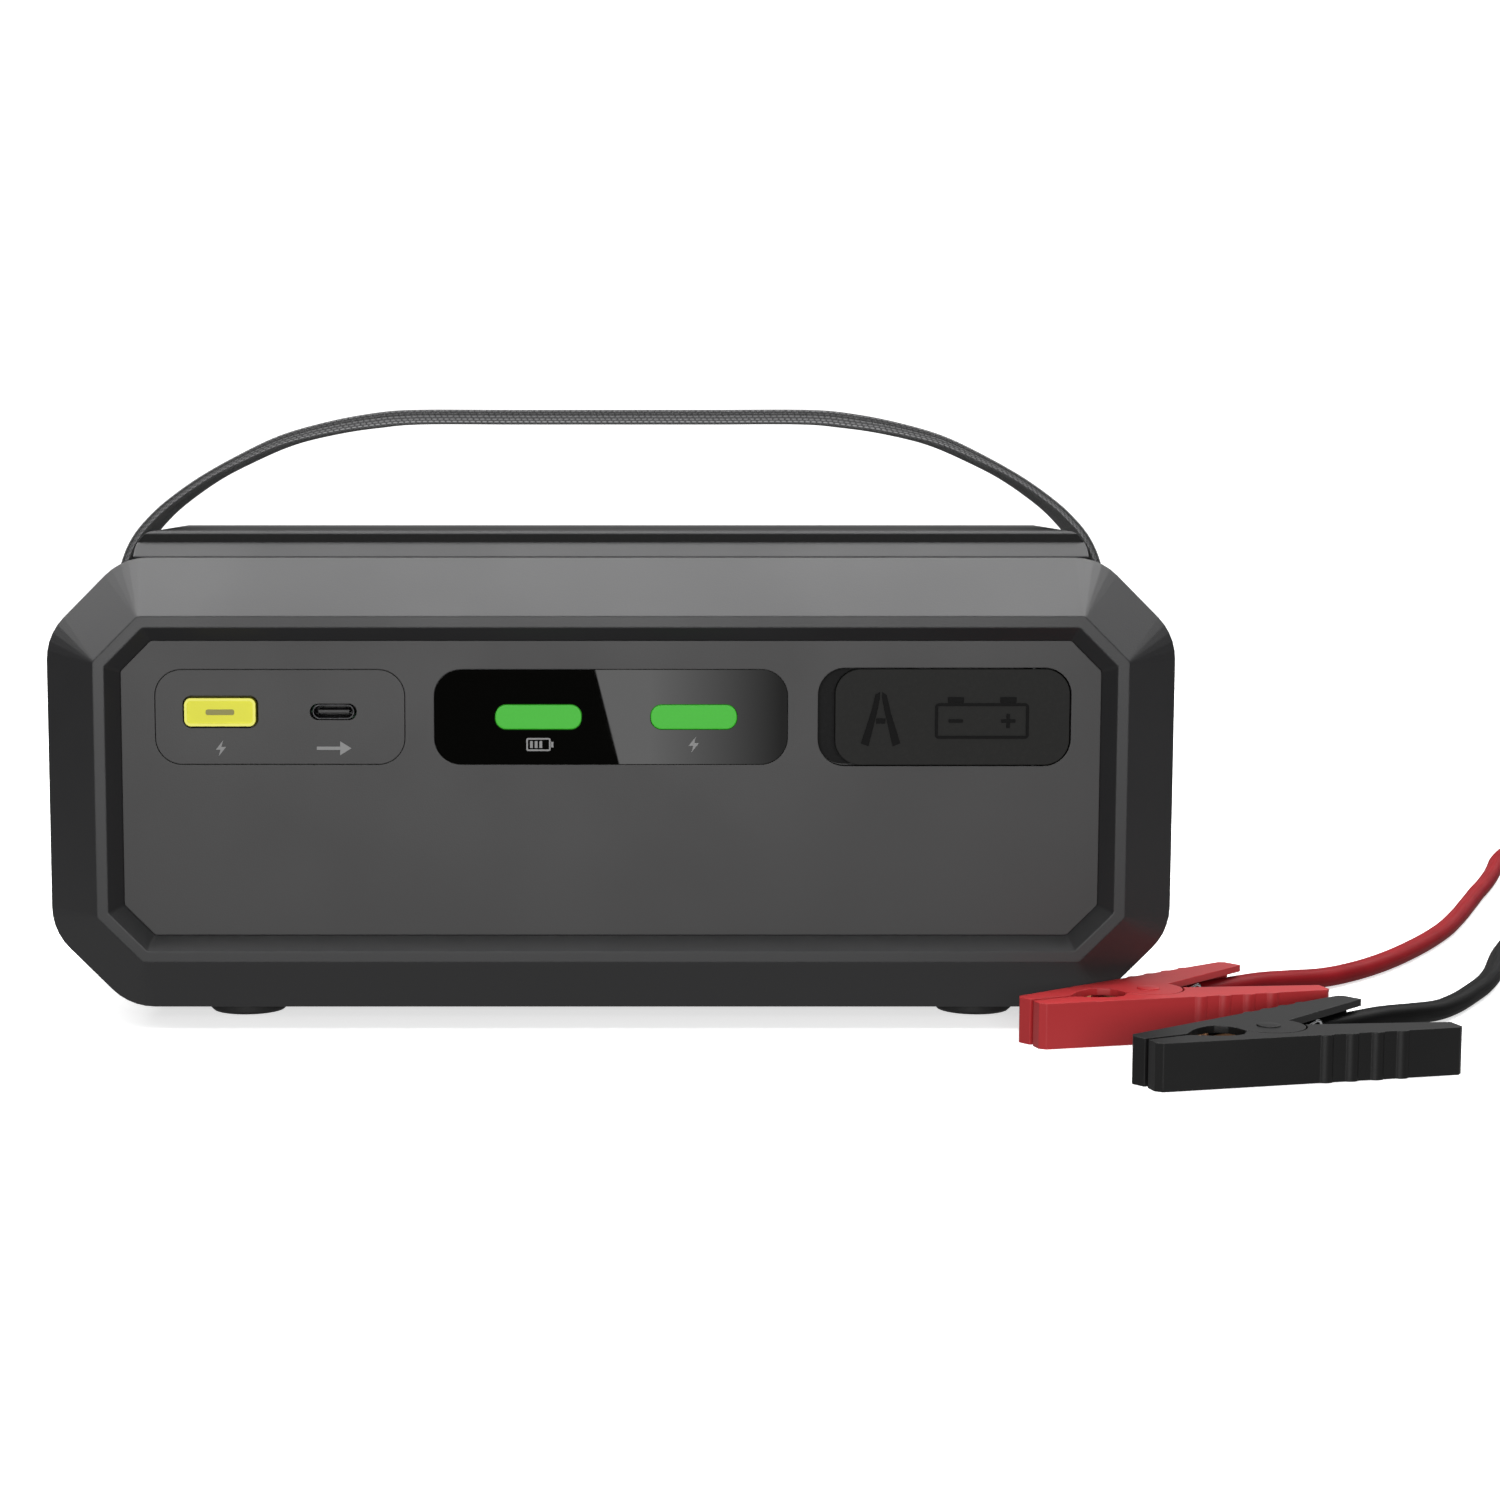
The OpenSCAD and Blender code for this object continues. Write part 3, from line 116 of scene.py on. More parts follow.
class StudioSettings(PropertyGroup):
    """Camera, floor and lights"""

    lens: FloatProperty(
        name="Lens", description="Focal length on a 36 mm sensor", default=66.77, unit="CAMERA"
    )
    camera_back: FloatProperty(
        name="Camera distance", description="How far in front of the origin", default=0.63022,
        unit="LENGTH",
    )
    camera_up: FloatProperty(
        name="Camera height", description="Height over the floor", default=0.12244, unit="LENGTH"
    )
    camera_pitch: FloatProperty(
        name="Camera pitch", description="Downward tilt", default=math.radians(6.0406), subtype="ANGLE"
    )
    shift: FloatProperty(name="Shift", description="Sideways shift of the lens", default=0.0927)
    floor_colour: FloatVectorProperty(
        name="Floor", description="Floor and backdrop", default=(0.9, 0.9, 0.9), subtype="COLOR"
    )
    floor_glow: FloatProperty(
        name="Floor glow", description="Light that the floor gives off, as a light table", default=0.62
    )
    sky: FloatProperty(name="Ambient light", description="Strength of the light all round", default=0.3)
    top_power: FloatProperty(
        name="Top light", description="Power of the overhead panel", default=24.0, unit="POWER"
    )
    front_power: FloatProperty(
        name="Front light", description="Power of the panel behind the camera", default=19.0, unit="POWER"
    )
    left_power: FloatProperty(
        name="Left light", description="Power of the panel high at the left", default=14.0, unit="POWER"
    )
    right_power: FloatProperty(
        name="Right light", description="Power of the panel high at the right", default=8.0, unit="POWER"
    )


class CaseSettings(PropertyGroup):
    """Case, deck, feet and front panel"""

    colour: FloatVectorProperty(
        name="Case", description="Moulded case", default=(0.021, 0.021, 0.022), subtype="COLOR"
    )
    panel_colour: FloatVectorProperty(
        name="Panel", description="Recessed front panel", default=(0.034, 0.033, 0.033), subtype="COLOR"
    )
    edge_radius: FloatProperty(
        name="Edge radius", description="Rounding of moulded edges", default=0.5 * MM, unit="LENGTH"
    )


class ControlSettings(PropertyGroup):
    """Button, window, lenses and marks"""

    button_colour: FloatVectorProperty(
        name="Button", description="Push button", default=(0.95, 0.93, 0.05), subtype="COLOR"
    )
    lens_colour: FloatVectorProperty(
        name="Lenses", description="Indicator lenses", default=(0.04, 0.42, 0.022), subtype="COLOR"
    )
    mark_colour: FloatVectorProperty(
        name="Printed marks", description="Printed marks", default=(0.3, 0.3, 0.3), subtype="COLOR"
    )
    rim_w: FloatProperty(
        name="Button rim", description="Width of the button's raised rim", default=0.6 * MM, unit="LENGTH"
    )
    print_t: FloatProperty(
        name="Print", description="Thickness of a printed mark", default=0.03 * MM, unit="LENGTH"
    )
    raised_t: FloatProperty(
        name="Raised marks", description="Height of the marks on the cover", default=0.3 * MM,
        unit="LENGTH",
    )


class StrapSettings(PropertyGroup):
    """Woven carry strap"""

    colour: FloatVectorProperty(
        name="Webbing", description="Woven ply", default=(0.27, 0.27, 0.275), subtype="COLOR"
    )
    top_colour: FloatVectorProperty(
        name="Upper ply", description="Close upper ply", default=(0.12, 0.12, 0.122), subtype="COLOR"
    )
    width: FloatProperty(name="Width", description="Width of the webbing", default=25 * MM, unit="LENGTH")
    thickness: FloatProperty(
        name="Thickness", description="Both plies together, at the grip", default=3 * MM, unit="LENGTH"
    )
    end_thickness: FloatProperty(
        name="End thickness", description="One ply, at the ends", default=1.5 * MM, unit="LENGTH"
    )
    yarn: FloatProperty(name="Yarn", description="Width of one yarn", default=0.6 * MM, unit="LENGTH")


class LeadSettings(PropertyGroup):
    """Clamps, cables and plug"""

    red: FloatVectorProperty(
        name="Red clamp", description="Positive clamp", default=(0.5, 0.03, 0.034), subtype="COLOR"
    )
    black: FloatVectorProperty(
        name="Black clamp", description="Negative clamp", default=(0.009, 0.009, 0.009), subtype="COLOR"
    )
    cable_dia: FloatProperty(
        name="Cable", description="Diameter of each cable", default=4.5 * MM, unit="LENGTH"
    )
    cable_sides: IntProperty(name="Cable sides", description="Facets round a cable", default=24, min=8)


# ---------------------------------------- finishes


class Finish:
    """A material whose nodes are built round one Principled shader"""

    def __init__(self, name, colour, roughness, **sockets):
        self.material = bpy.data.materials.new(name)
        self.material.use_nodes = True
        self.material.diffuse_color = (*colour, 1)
        self.tree = self.material.node_tree
        self.shader = self.tree.nodes["Principled BSDF"]
        self.colour = (*colour, 1)
        self.shader.inputs["Base Color"].default_value = self.colour
        self.shader.inputs["Roughness"].default_value = roughness
        for socket, value in sockets.items():
            self.shader.inputs[socket.replace("_", " ")].default_value = value
        coordinates = self.tree.nodes.new("ShaderNodeTexCoord")
        self.place = coordinates.outputs["Object"]
        self.unwrapped = coordinates.outputs["UV"]

    def node(self, kind, inputs, **settings):
        """Adds a node, and sets its inputs to numbers or links them to sockets"""
        made = self.tree.nodes.new("ShaderNode" + kind)
        for key, value in settings.items():
            setattr(made, key, value)
        for key, value in inputs.items():
            if isinstance(value, bpy.types.NodeSocket):
                self.tree.links.new(value, made.inputs[key])
            else:
                made.inputs[key].default_value = value
        return made

    def math(self, operation, a, b=0.0):
        return self.node("Math", {0: a, 1: b}, operation=operation).outputs[0]

    def spread(self, value, low, high, to_low=0.0, to_high=1.0):
        """Maps a value from one range to another, held at its ends"""
        inputs = {"Value": value, "From Min": low, "From Max": high, "To Min": to_low, "To Max": to_high}
        return self.node("MapRange", inputs).outputs["Result"]

    def noise(self, size, detail=2.0, stretch=(1, 1, 1), place=None):
        """Noise with features of the given size"""
        at = self.node("Mapping", {"Vector": place or self.place, "Scale": stretch}).outputs["Vector"]
        return self.node("TexNoise", {"Vector": at, "Scale": 1 / size, "Detail": detail}).outputs["Fac"]

    def mix(self, share, a, b):
        made = self.node("Mix", {}, data_type="RGBA")
        colours = [socket for socket in made.inputs if socket.type == "RGBA"]
        self.tree.links.new(share, made.inputs["Factor"])
        for socket, value in zip(colours, (a, b)):
            if isinstance(value, bpy.types.NodeSocket):
                self.tree.links.new(value, socket)
            else:
                socket.default_value = value
        return next(socket for socket in made.outputs if socket.type == "RGBA")

    def shade(self, factor):
        """The base colour made lighter or darker"""
        return tuple(min(1.0, c * factor) for c in self.colour[:3]) + (1,)

    def paint(self, colour):
        self.tree.links.new(colour, self.shader.inputs["Base Color"])

    def polish(self, roughness):
        self.tree.links.new(roughness, self.shader.inputs["Roughness"])

    def rounded(self, radius):
        """Normal of edges rounded to a radius, and a mask of where the edges are"""
        soft = self.node("Bevel", {"Radius": radius}, samples=6).outputs["Normal"]
        flat = self.node("NewGeometry", {}).outputs["Normal"]
        along = self.node("VectorMath", {0: soft, 1: flat}, operation="DOT_PRODUCT").outputs["Value"]
        return soft, self.spread(along, 0.995, 0.9)

    def relief(self, height, depth, normal=None):
        inputs = {"Height": height, "Distance": depth, "Strength": 1.0}
        if normal:
            inputs["Normal"] = normal
        self.tree.links.new(
            self.node("Bump", inputs).outputs["Normal"], self.shader.inputs["Normal"]
        )


def recess_shade(finish):
    """Mask of what lies behind the panel's face, for painted shade in the recesses, where light doesn't
    reach
    """
    face, light_ends, dark_starts = front_of("port_plate"), 0.2 * MM, 1.6 * MM
    depth = finish.node("SeparateXYZ", {"Vector": finish.place}).outputs["Y"]
    return finish.spread(depth, face + light_ends, face + dark_starts)


def moulded(
    name, colour, roughness, grain=0.35 * MM, depth=0.012 * MM, edge=0.3 * MM, edge_wear_and_highlight=1.35, dark=None,
    **sockets,
):
    """Moulded plastic: fine grain, a slow drift of gloss, lighter edges that are partly handling wear and
    partly painted highlight, and painted shade where an optional mask says
    """
    finish = Finish(name, colour, roughness, **sockets)
    drift = finish.noise(35 * MM, 3)
    grain_height = finish.noise(grain, 1)
    soft, edges = finish.rounded(edge)
    toned = finish.mix(finish.spread(drift, 0.3, 0.7), finish.shade(0.94), finish.shade(1.06))
    # Lighter edges: partly handling wear, partly painted highlight on the rounded edges
    painted = finish.mix(finish.math("MULTIPLY", edges, 0.8), toned, finish.shade(edge_wear_and_highlight))
    # Painted shade: darker where the mask says, as in the recesses behind the panel's face
    if dark:
        painted = finish.mix(dark(finish), painted, finish.shade(0.12))
    finish.paint(painted)
    finish.polish(finish.spread(drift, 0.3, 0.7, roughness * 0.92, roughness * 1.08))
    finish.relief(grain_height, depth, soft)
    return finish.material


def rubber(name, colour, roughness=0.65):
    """Matt rubber with a dusty speckle"""
    finish = Finish(name, colour, roughness, Specular_IOR_Level=0.3)
    dust = finish.noise(0.8 * MM, 4)
    soft, edges = finish.rounded(0.25 * MM)
    speckled = finish.mix(finish.spread(dust, 0.45, 0.75), finish.colour, finish.shade(1.25))
    finish.paint(finish.mix(finish.math("MULTIPLY", edges, 0.6), speckled, finish.shade(1.5)))
    finish.relief(dust, 0.03 * MM, soft)
    return finish.material


def metal(name, colour, roughness, stretch=(1, 1, 1), tarnish=0.8):
    """Bare or plated metal with drawn scratches and darker tarnish"""
    finish = Finish(name, colour, roughness, Metallic=1.0)
    drawn = finish.noise(0.4 * MM, 3, stretch)
    stain = finish.noise(4 * MM, 3)
    finish.paint(finish.mix(finish.spread(stain, 0.4, 0.7), finish.colour, finish.shade(tarnish)))
    finish.polish(finish.spread(drawn, 0.3, 0.7, roughness * 0.8, roughness * 1.3))
    finish.relief(drawn, 0.01 * MM, finish.rounded(0.15 * MM)[0])
    return finish.material


def silicone(name, colour):
    """Soft cable jacket with faint lengthwise draw lines"""
    finish = Finish(name, colour, 0.5, Specular_IOR_Level=0.1)
    lines = finish.noise(0.7 * MM, 2, (0.04, 1, 1), finish.unwrapped)
    cloud = finish.noise(9 * MM, 3)
    finish.paint(finish.mix(finish.spread(cloud, 0.35, 0.7), finish.colour, finish.shade(1.18)))
    finish.polish(finish.spread(lines, 0.35, 0.65, 0.45, 0.55))
    finish.relief(lines, 0.02 * MM)
    return finish.material


def circuit_board(name, colour):
    """Solder mask over copper tracks"""
    finish = Finish(name, colour, 0.3)
    tracks = finish.node(
        "TexBrick",
        {"Vector": finish.place, "Scale": 90.0, "Mortar Size": 0.03, "Color1": (0, 0, 0, 1),
         "Color2": (0.4, 0.4, 0.4, 1), "Mortar": (1, 1, 1, 1)},
    ).outputs["Color"]
    finish.paint(finish.mix(tracks, finish.colour, finish.shade(1.9)))
    finish.relief(finish.noise(0.5 * MM, 2), 0.01 * MM)
    return finish.material


def sleeve(name, colour):
    """Shrink sleeve with fine print bands along the can"""
    finish = Finish(name, colour, 0.3, Coat_Weight=0.3)
    wave = finish.node("TexWave", {"Vector": finish.place, "Scale": 42.0}, bands_direction="X")
    bands = finish.spread(wave.outputs["Fac"], 0.93, 0.97)
    finish.paint(finish.mix(bands, finish.colour, (0.5, 0.5, 0.5, 1)))
    finish.relief(finish.noise(6 * MM, 2), 0.05 * MM)
    return finish.material


def window(name, colour):
    """Polished black window with hair-fine wipe marks"""
    finish = Finish(name, colour, 0.01)
    wipes = finish.noise(1.5 * MM, 4, (0.15, 1, 1))
    finish.polish(finish.spread(wipes, 0.3, 0.8, 0.006, 0.02))
    return finish.material


def lit_lens(name, colour):
    """Green lens, lit from behind, a little brighter in the middle"""
    finish = Finish(name, colour, 0.32, Emission_Strength=0.3, Specular_IOR_Level=0.25)
    frost = finish.noise(0.5 * MM, 3)
    soft, edges = finish.rounded(0.4 * MM)
    finish.paint(finish.mix(edges, finish.colour, finish.shade(0.8)))
    glow = finish.mix(finish.spread(frost, 0.3, 0.7), finish.shade(0.95), finish.shade(1.1))
    finish.tree.links.new(glow, finish.shader.inputs["Emission Color"])
    finish.relief(frost, 0.01 * MM, soft)
    return finish.material


def webbing(name, colour, top_colour, yarn, top_girth, width):
    """Webbing on its own unwrap: a twill of yarns with painted shade between them, closer and darker
    above, and lighter on the inner face as painted bounce light
    """
    pick_length, twill, side_girth, painted_bounce = yarn * 2.2, 0.35, 2.2 * MM, 1.8
    finish = Finish(name, colour, 0.85, Sheen_Weight=0.25, Sheen_Roughness=0.5, Specular_IOR_Level=0.2)
    parts = finish.node("SeparateXYZ", {"Vector": finish.unwrapped}).outputs
    along, round_it = parts["X"], parts["Y"]
    row = finish.math("DIVIDE", round_it, yarn)
    shift = finish.math("MULTIPLY", finish.math("FLOOR", row), twill)
    pick = finish.math("FRACT", finish.math("ADD", finish.math("DIVIDE", along, pick_length), shift))
    swell = finish.math("SINE", finish.math("MULTIPLY", pick, math.pi))
    crown = finish.math("SINE", finish.math("MULTIPLY", finish.math("FRACT", row), math.pi))
    height = finish.math("MULTIPLY", swell, crown)
    upper = finish.math("LESS_THAN", round_it, top_girth)
    inner_middle = top_girth + side_girth + width / 2
    across = finish.math("ABSOLUTE", finish.math("SUBTRACT", round_it, inner_middle))
    inner = finish.math("LESS_THAN", across, width / 2)
    # Lighter inner face: painted bounce light that the floor would give
    lower = finish.mix(inner, finish.colour, finish.shade(painted_bounce))
    plain = finish.mix(upper, lower, (*top_colour, 1))
    # Darker between the yarns: painted shade in the dips of the weave
    between = finish.mix(upper, finish.shade(0.35), tuple(0.5 * c for c in top_colour) + (1,))
    yarns = finish.mix(finish.spread(height, 0.1, 0.7), between, plain)
    fuzz = finish.noise(0.25 * MM, 3)
    finish.paint(finish.mix(finish.spread(fuzz, 0.55, 0.8), yarns, finish.shade(1.5)))
    finish.relief(height, 0.25 * MM)
    return finish.material


def finishes(scene):
    """Every finish that the record names, and those of the printed and raised marks"""
    case, control, strap, lead = scene.jump_case, scene.jump_controls, scene.jump_strap, scene.jump_leads
    return {
        "case_plastic": lambda n: moulded(
            n, case.colour, 0.42, edge=case.edge_radius, Specular_IOR_Level=0.5
        ),
        # Much lighter edges on the deck: a painted highlight along its chamfers
        "deck_plastic": lambda n: moulded(
            n, case.colour, 0.42, edge=case.edge_radius, edge_wear_and_highlight=3.0, Specular_IOR_Level=0.32
        ),
        # The panel is painted darker behind its face: painted shade in its recesses
        "panel_plastic": lambda n: moulded(n, case.panel_colour, 0.5, edge=0.2 * MM, dark=recess_shade),
        "window_plastic": lambda n: window(n, (0.003, 0.003, 0.0026)),
        "lens_plastic": lambda n: lit_lens(n, control.lens_colour),
        # The button's sides in its gap get the same painted shade
        "button_plastic": lambda n: moulded(
            n, control.button_colour, 0.4, edge=0.35 * MM, edge_wear_and_highlight=1.1, dark=recess_shade, Specular_IOR_Level=0.3
        ),
        # A lighter yellow with a faint glow, though the button is no lamp: a painted highlight on the rim
        "button_rim": lambda n: moulded(
            n, (1.0, 0.97, 0.16), 0.4, edge=0.1 * MM, edge_wear_and_highlight=1.0, Specular_IOR_Level=0.3,
            Emission_Color=(1, 1, 0.2, 1), Emission_Strength=0.08,
        ),
        "button_mark": lambda n: moulded(n, (0.3, 0.28, 0.05), 0.45, edge=0.1 * MM),
        "cover_rubber": lambda n: rubber(n, (0.009, 0.009, 0.008)),
        "cover_mark": lambda n: rubber(n, (0.003, 0.003, 0.003), 0.85),
        "black_rubber": lambda n: rubber(n, (0.015, 0.015, 0.015)),
        # Dark matt rubber for sheets laid where there is only shade: painted shade on the deck's walls
        # and in the finger notch
        "band_rubber": lambda n: rubber(n, (0.014, 0.014, 0.014), 0.9),
        "blackened_steel": lambda n: metal(n, (0.03, 0.03, 0.031), 0.5),
        "print": lambda n: moulded(n, control.mark_colour, 0.6, edge=0.05 * MM),
        "steel": lambda n: metal(n, (0.6, 0.61, 0.63), 0.3),
        "spring_steel": lambda n: metal(n, (0.85, 0.86, 0.88), 0.16, tarnish=0.9),
        "connector_steel": lambda n: metal(n, (0.06, 0.06, 0.062), 0.45, (1, 0.1, 1)),
        "black_plastic": lambda n: moulded(n, (0.02, 0.02, 0.02), 0.45),
        "circuit_board": lambda n: circuit_board(n, (0.02, 0.12, 0.05)),
        "ribbon_plastic": lambda n: moulded(n, (0.6, 0.6, 0.58), 0.5, edge_wear_and_highlight=1.1),
        "led_plastic": lambda n: moulded(n, (0.85, 0.9, 0.8), 0.2, edge_wear_and_highlight=1.05),
        "connector_blue": lambda n: moulded(n, (0.03, 0.1, 0.4), 0.4),
        "contact_gold": lambda n: metal(n, (0.83, 0.65, 0.25), 0.22, (1, 0.1, 1), 0.85),
        "copper": lambda n: metal(n, (0.72, 0.38, 0.2), 0.34, (1, 1, 0.1), 0.6),
        "capacitor_sleeve": lambda n: sleeve(n, (0.02, 0.03, 0.12)),
        "aluminium": lambda n: metal(n, (0.62, 0.63, 0.65), 0.35, (1, 1, 0.08)),
        "ferrite": lambda n: moulded(n, (0.06, 0.06, 0.065), 0.7, grain=0.8 * MM, depth=0.05 * MM),
        "red_silicone": lambda n: silicone(n, (0.23, 0.008, 0.012)),
        "black_silicone": lambda n: silicone(n, (0.004, 0.004, 0.004)),
        "clamp_red": lambda n: moulded(n, lead.red, 0.38, grain=0.5 * MM, depth=0.01 * MM, edge_wear_and_highlight=1.25),
        # Lighter edges on the black clamps: partly wear, partly painted highlight
        "clamp_black": lambda n: moulded(
            n, lead.black, 0.4, grain=0.5 * MM, depth=0.01 * MM, edge_wear_and_highlight=2.5, Specular_IOR_Level=0.35
        ),
        "strap_webbing": lambda n: webbing(
            n, strap.colour, strap.top_colour, strap.yarn, top_ply_girth(strap), strap.width
        ),
    }


def finish_named(context, name):
    """The material of a finish, made the first time that it is asked for"""
    full_name = name + "_finish"
    return bpy.data.materials.get(full_name) or finishes(context.scene)[name](full_name)


def coat(context, name, *nodes):
    """Gives CAD nodes a finish"""
    for node in nodes:
        mesh = frame["nodes"][node].data
        mesh.materials.clear()
        mesh.materials.append(finish_named(context, name))


def coat_as_recorded(context, *nodes):
    """Gives CAD nodes the finishes that the record names for them"""
    slots = {part["node"]: part["material_slot"] for part in frame["record"]["subparts"]}
    for node in nodes:
        coat(context, slots[node], node)


# ---------------------------------------- shapes


def linked(context, name, data):
    """A new object in the scene that shows some data"""
    made = bpy.data.objects.new(name, data)
    context.scene.collection.objects.link(made)
    return made


def mesh_object(context, name, bm, material):
    """Turns a bmesh into an object of one material"""
    mesh = bpy.data.meshes.new(name)
    bm.to_mesh(mesh)
    bm.free()
    mesh.materials.append(material)
    return linked(context, name, mesh)


def piece(context, name, bm, finish, body, smooth=True, crease=35):
    """Turns a bmesh into a finished piece that rides on a body"""
    bmesh.ops.recalc_face_normals(bm, faces=bm.faces)
    made = mesh_object(context, name, bm, finish_named(context, finish))
    if smooth:
        made.data.shade_smooth()
        made.data.set_sharp_from_angle(angle=math.radians(crease))
    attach(made, body)
    return made


def smooth_line(points, step):
    """A curve through the points, with a station about every step"""
    points = [Vector(p) for p in points]
    ends = [2 * points[0] - points[1]], [2 * points[-1] - points[-2]]
    padded = ends[0] + points + ends[1]
    line = []
    for a, b, c, d in zip(padded, padded[1:], padded[2:], padded[3:]):
        count = max(1, round((c - b).length / step))
        for s in (i / count for i in range(count)):
            line.append(
                0.5 * (2 * b + (c - a) * s + (2 * a - 5 * b + 4 * c - d) * s**2
                       + (3 * b - a - 3 * c + d) * s**3)
            )
    return line + [points[-1]]


def length_of(line):
    return sum((b - a).length for a, b in zip(line, line[1:]))


def stations(line, up):
    """A matrix at each point of a line: X along it, Z as near to up as it can be"""
    made = []
    for i, point in enumerate(line):
        ahead = (line[min(i + 1, len(line) - 1)] - line[max(i - 1, 0)]).normalized()
        side = up.cross(ahead).normalized()
        axes = Matrix((ahead, side, ahead.cross(side))).transposed()
        made.append(Matrix.Translation(point) @ axes.to_4x4())
    return made


def sweep(bm, ring, places):
    """Extrudes a closed ring of edges from place to place, with a UV map in metres, and caps it"""
    ring_at = bm.verts.layers.int.new("ring")
    unwrap = bm.loops.layers.uv.new("UVMap")
    verts = list(bm.verts)
    for i, vert in enumerate(verts):
        vert[ring_at] = i
    girth = [0.0]
    for a, b in zip(verts, verts[1:] + verts[:1]):
        girth.append(girth[-1] + (b.co - a.co).length)
    bmesh.ops.transform(bm, matrix=places[0], verts=verts)
    run = 0.0
    for before, after in zip(places, places[1:]):
        made = bmesh.ops.extrude_edge_only(bm, edges=ring)["geom"]
        new = {g for g in made if isinstance(g, bmesh.types.BMVert)}
        ring = [g for g in made if isinstance(g, bmesh.types.BMEdge) and set(g.verts) <= new]
        bmesh.ops.transform(bm, matrix=after @ before.inverted(), verts=list(new))
        ahead = run + (after.translation - before.translation).length
        for face in (g for g in made if isinstance(g, bmesh.types.BMFace)):
            seam = {v[ring_at] for v in face.verts} == {0, len(verts) - 1}
            for loop in face.loops:
                k = loop.vert[ring_at]
                around = girth[-1 if seam and k == 0 else k]
                loop[unwrap].uv = (ahead if loop.vert in new else run, around)
        run = ahead
    bmesh.ops.edgeloop_fill(bm, edges=ring)
    return girth


def flat_face(bm, x, z, wide, high, corner=0.0, turn=0.0):
    """A flat rectangle in X and Z with round corners"""
    matrix = Matrix.Translation((x, 0, z)) @ Matrix.Rotation(turn, 4, "Y") @ FACING_FRONT
    made = bmesh.ops.create_grid(bm, x_segments=1, y_segments=1, size=0.5)["verts"]
    bmesh.ops.scale(bm, vec=(wide, high, 1), verts=made)
    bmesh.ops.transform(bm, matrix=matrix, verts=made)
    face = made[0].link_faces[0]
    if corner:
        bmesh.ops.bevel(
            bm, geom=made, offset=corner, segments=8, profile=0.5, affect="VERTICES", material=-1
        )
        face = list(bm.faces)[-1]
    return face


def flat_frame(bm, x, z, wide, high, corner, line):
    """The outline of a flat rectangle"""
    face = flat_face(bm, x, z, wide, high, corner)
    bmesh.ops.inset_individual(bm, faces=[face], thickness=line, use_even_offset=True)
    bmesh.ops.delete(bm, geom=[face], context="FACES_ONLY")


def flat_shape(bm, x, z, points):
    """A flat outline in X and Z, given by its corners in millimetres about its middle"""
    bm.faces.new([bm.verts.new((x + px * MM, 0, z + pz * MM)) for px, pz in points])


def thicken(bm, back, height):
    """Turns flat shapes into low slabs that stand on a face of the pack"""
    bmesh.ops.translate(bm, vec=(0, back, 0), verts=bm.verts)
    made = bmesh.ops.extrude_face_region(bm, geom=bm.faces[:], use_keep_orig=True)["geom"]
    raised = [g for g in made if isinstance(g, bmesh.types.BMVert)]
    bmesh.ops.translate(bm, vec=(0, -height, 0), verts=raised)


# ---------------------------------------- studio


def area_light(context, name, place, target, size, power):
    """A soft panel that lights the object and isn't seen itself"""
    lamp = bpy.data.lights.new(name, "AREA")
    lamp.shape = "RECTANGLE"
    lamp.size, lamp.size_y = size
    lamp.energy = power
    made = linked(context, name, lamp)
    made.location = place
    made.rotation_mode = "QUATERNION"
    made.rotation_quaternion = (Vector(target) - Vector(place)).to_track_quat("-Z", "Y")
    made.visible_camera = False


def stage_piece(context, name, bm, material):
    """Turns a bmesh into a piece of the studio"""
    made = mesh_object(context, name, bm, material)
    return made


def pale_paper(colour, glow):
    """Matt seamless paper, lit a little from behind"""
    finish = Finish("studio_paper", colour, 0.9, Specular_IOR_Level=0.1, Emission_Strength=glow)
    finish.shader.inputs["Emission Color"].default_value = (1, 1, 1, 1)
    finish.relief(finish.noise(2 * MM, 3), 0.02 * MM)
    return finish.material


def black_cloth():
    """Cloth that gives nothing back"""
    return Finish("studio_cloth", (0.01, 0.01, 0.01), 1.0, Specular_IOR_Level=0.0).material


def reflector(edge_top, edge_bottom, top, bottom, fade_start, fade_end, glow):
    """A panel that is dark left of a slanted edge, bright right of it, and fades to the right"""
    finish = Finish("studio_reflector", (0, 0, 0), 1.0, Emission_Strength=glow, Specular_IOR_Level=0.0)
    parts = finish.node("SeparateXYZ", {"Vector": finish.place}).outputs
    edge = finish.spread(parts["Z"], bottom, top, edge_bottom, edge_top)
    past = finish.math("SUBTRACT", parts["X"], edge)
    bright = finish.spread(past, 0.0, 0.4 * MM)
    fade = finish.spread(parts["X"], fade_start, fade_end, 1.0, 0.15)
    level = finish.math("MULTIPLY", bright, fade)
    finish.tree.links.new(
        finish.mix(level, (0, 0, 0, 1), (1, 1, 1, 1)), finish.shader.inputs["Emission Color"]
    )
    return finish.material


def glossy_only(made):
    """Leaves a stage piece in reflections and out of everything else"""
    made.visible_camera = made.visible_diffuse = made.visible_shadow = False
    made.visible_transmission = made.visible_volume_scatter = False


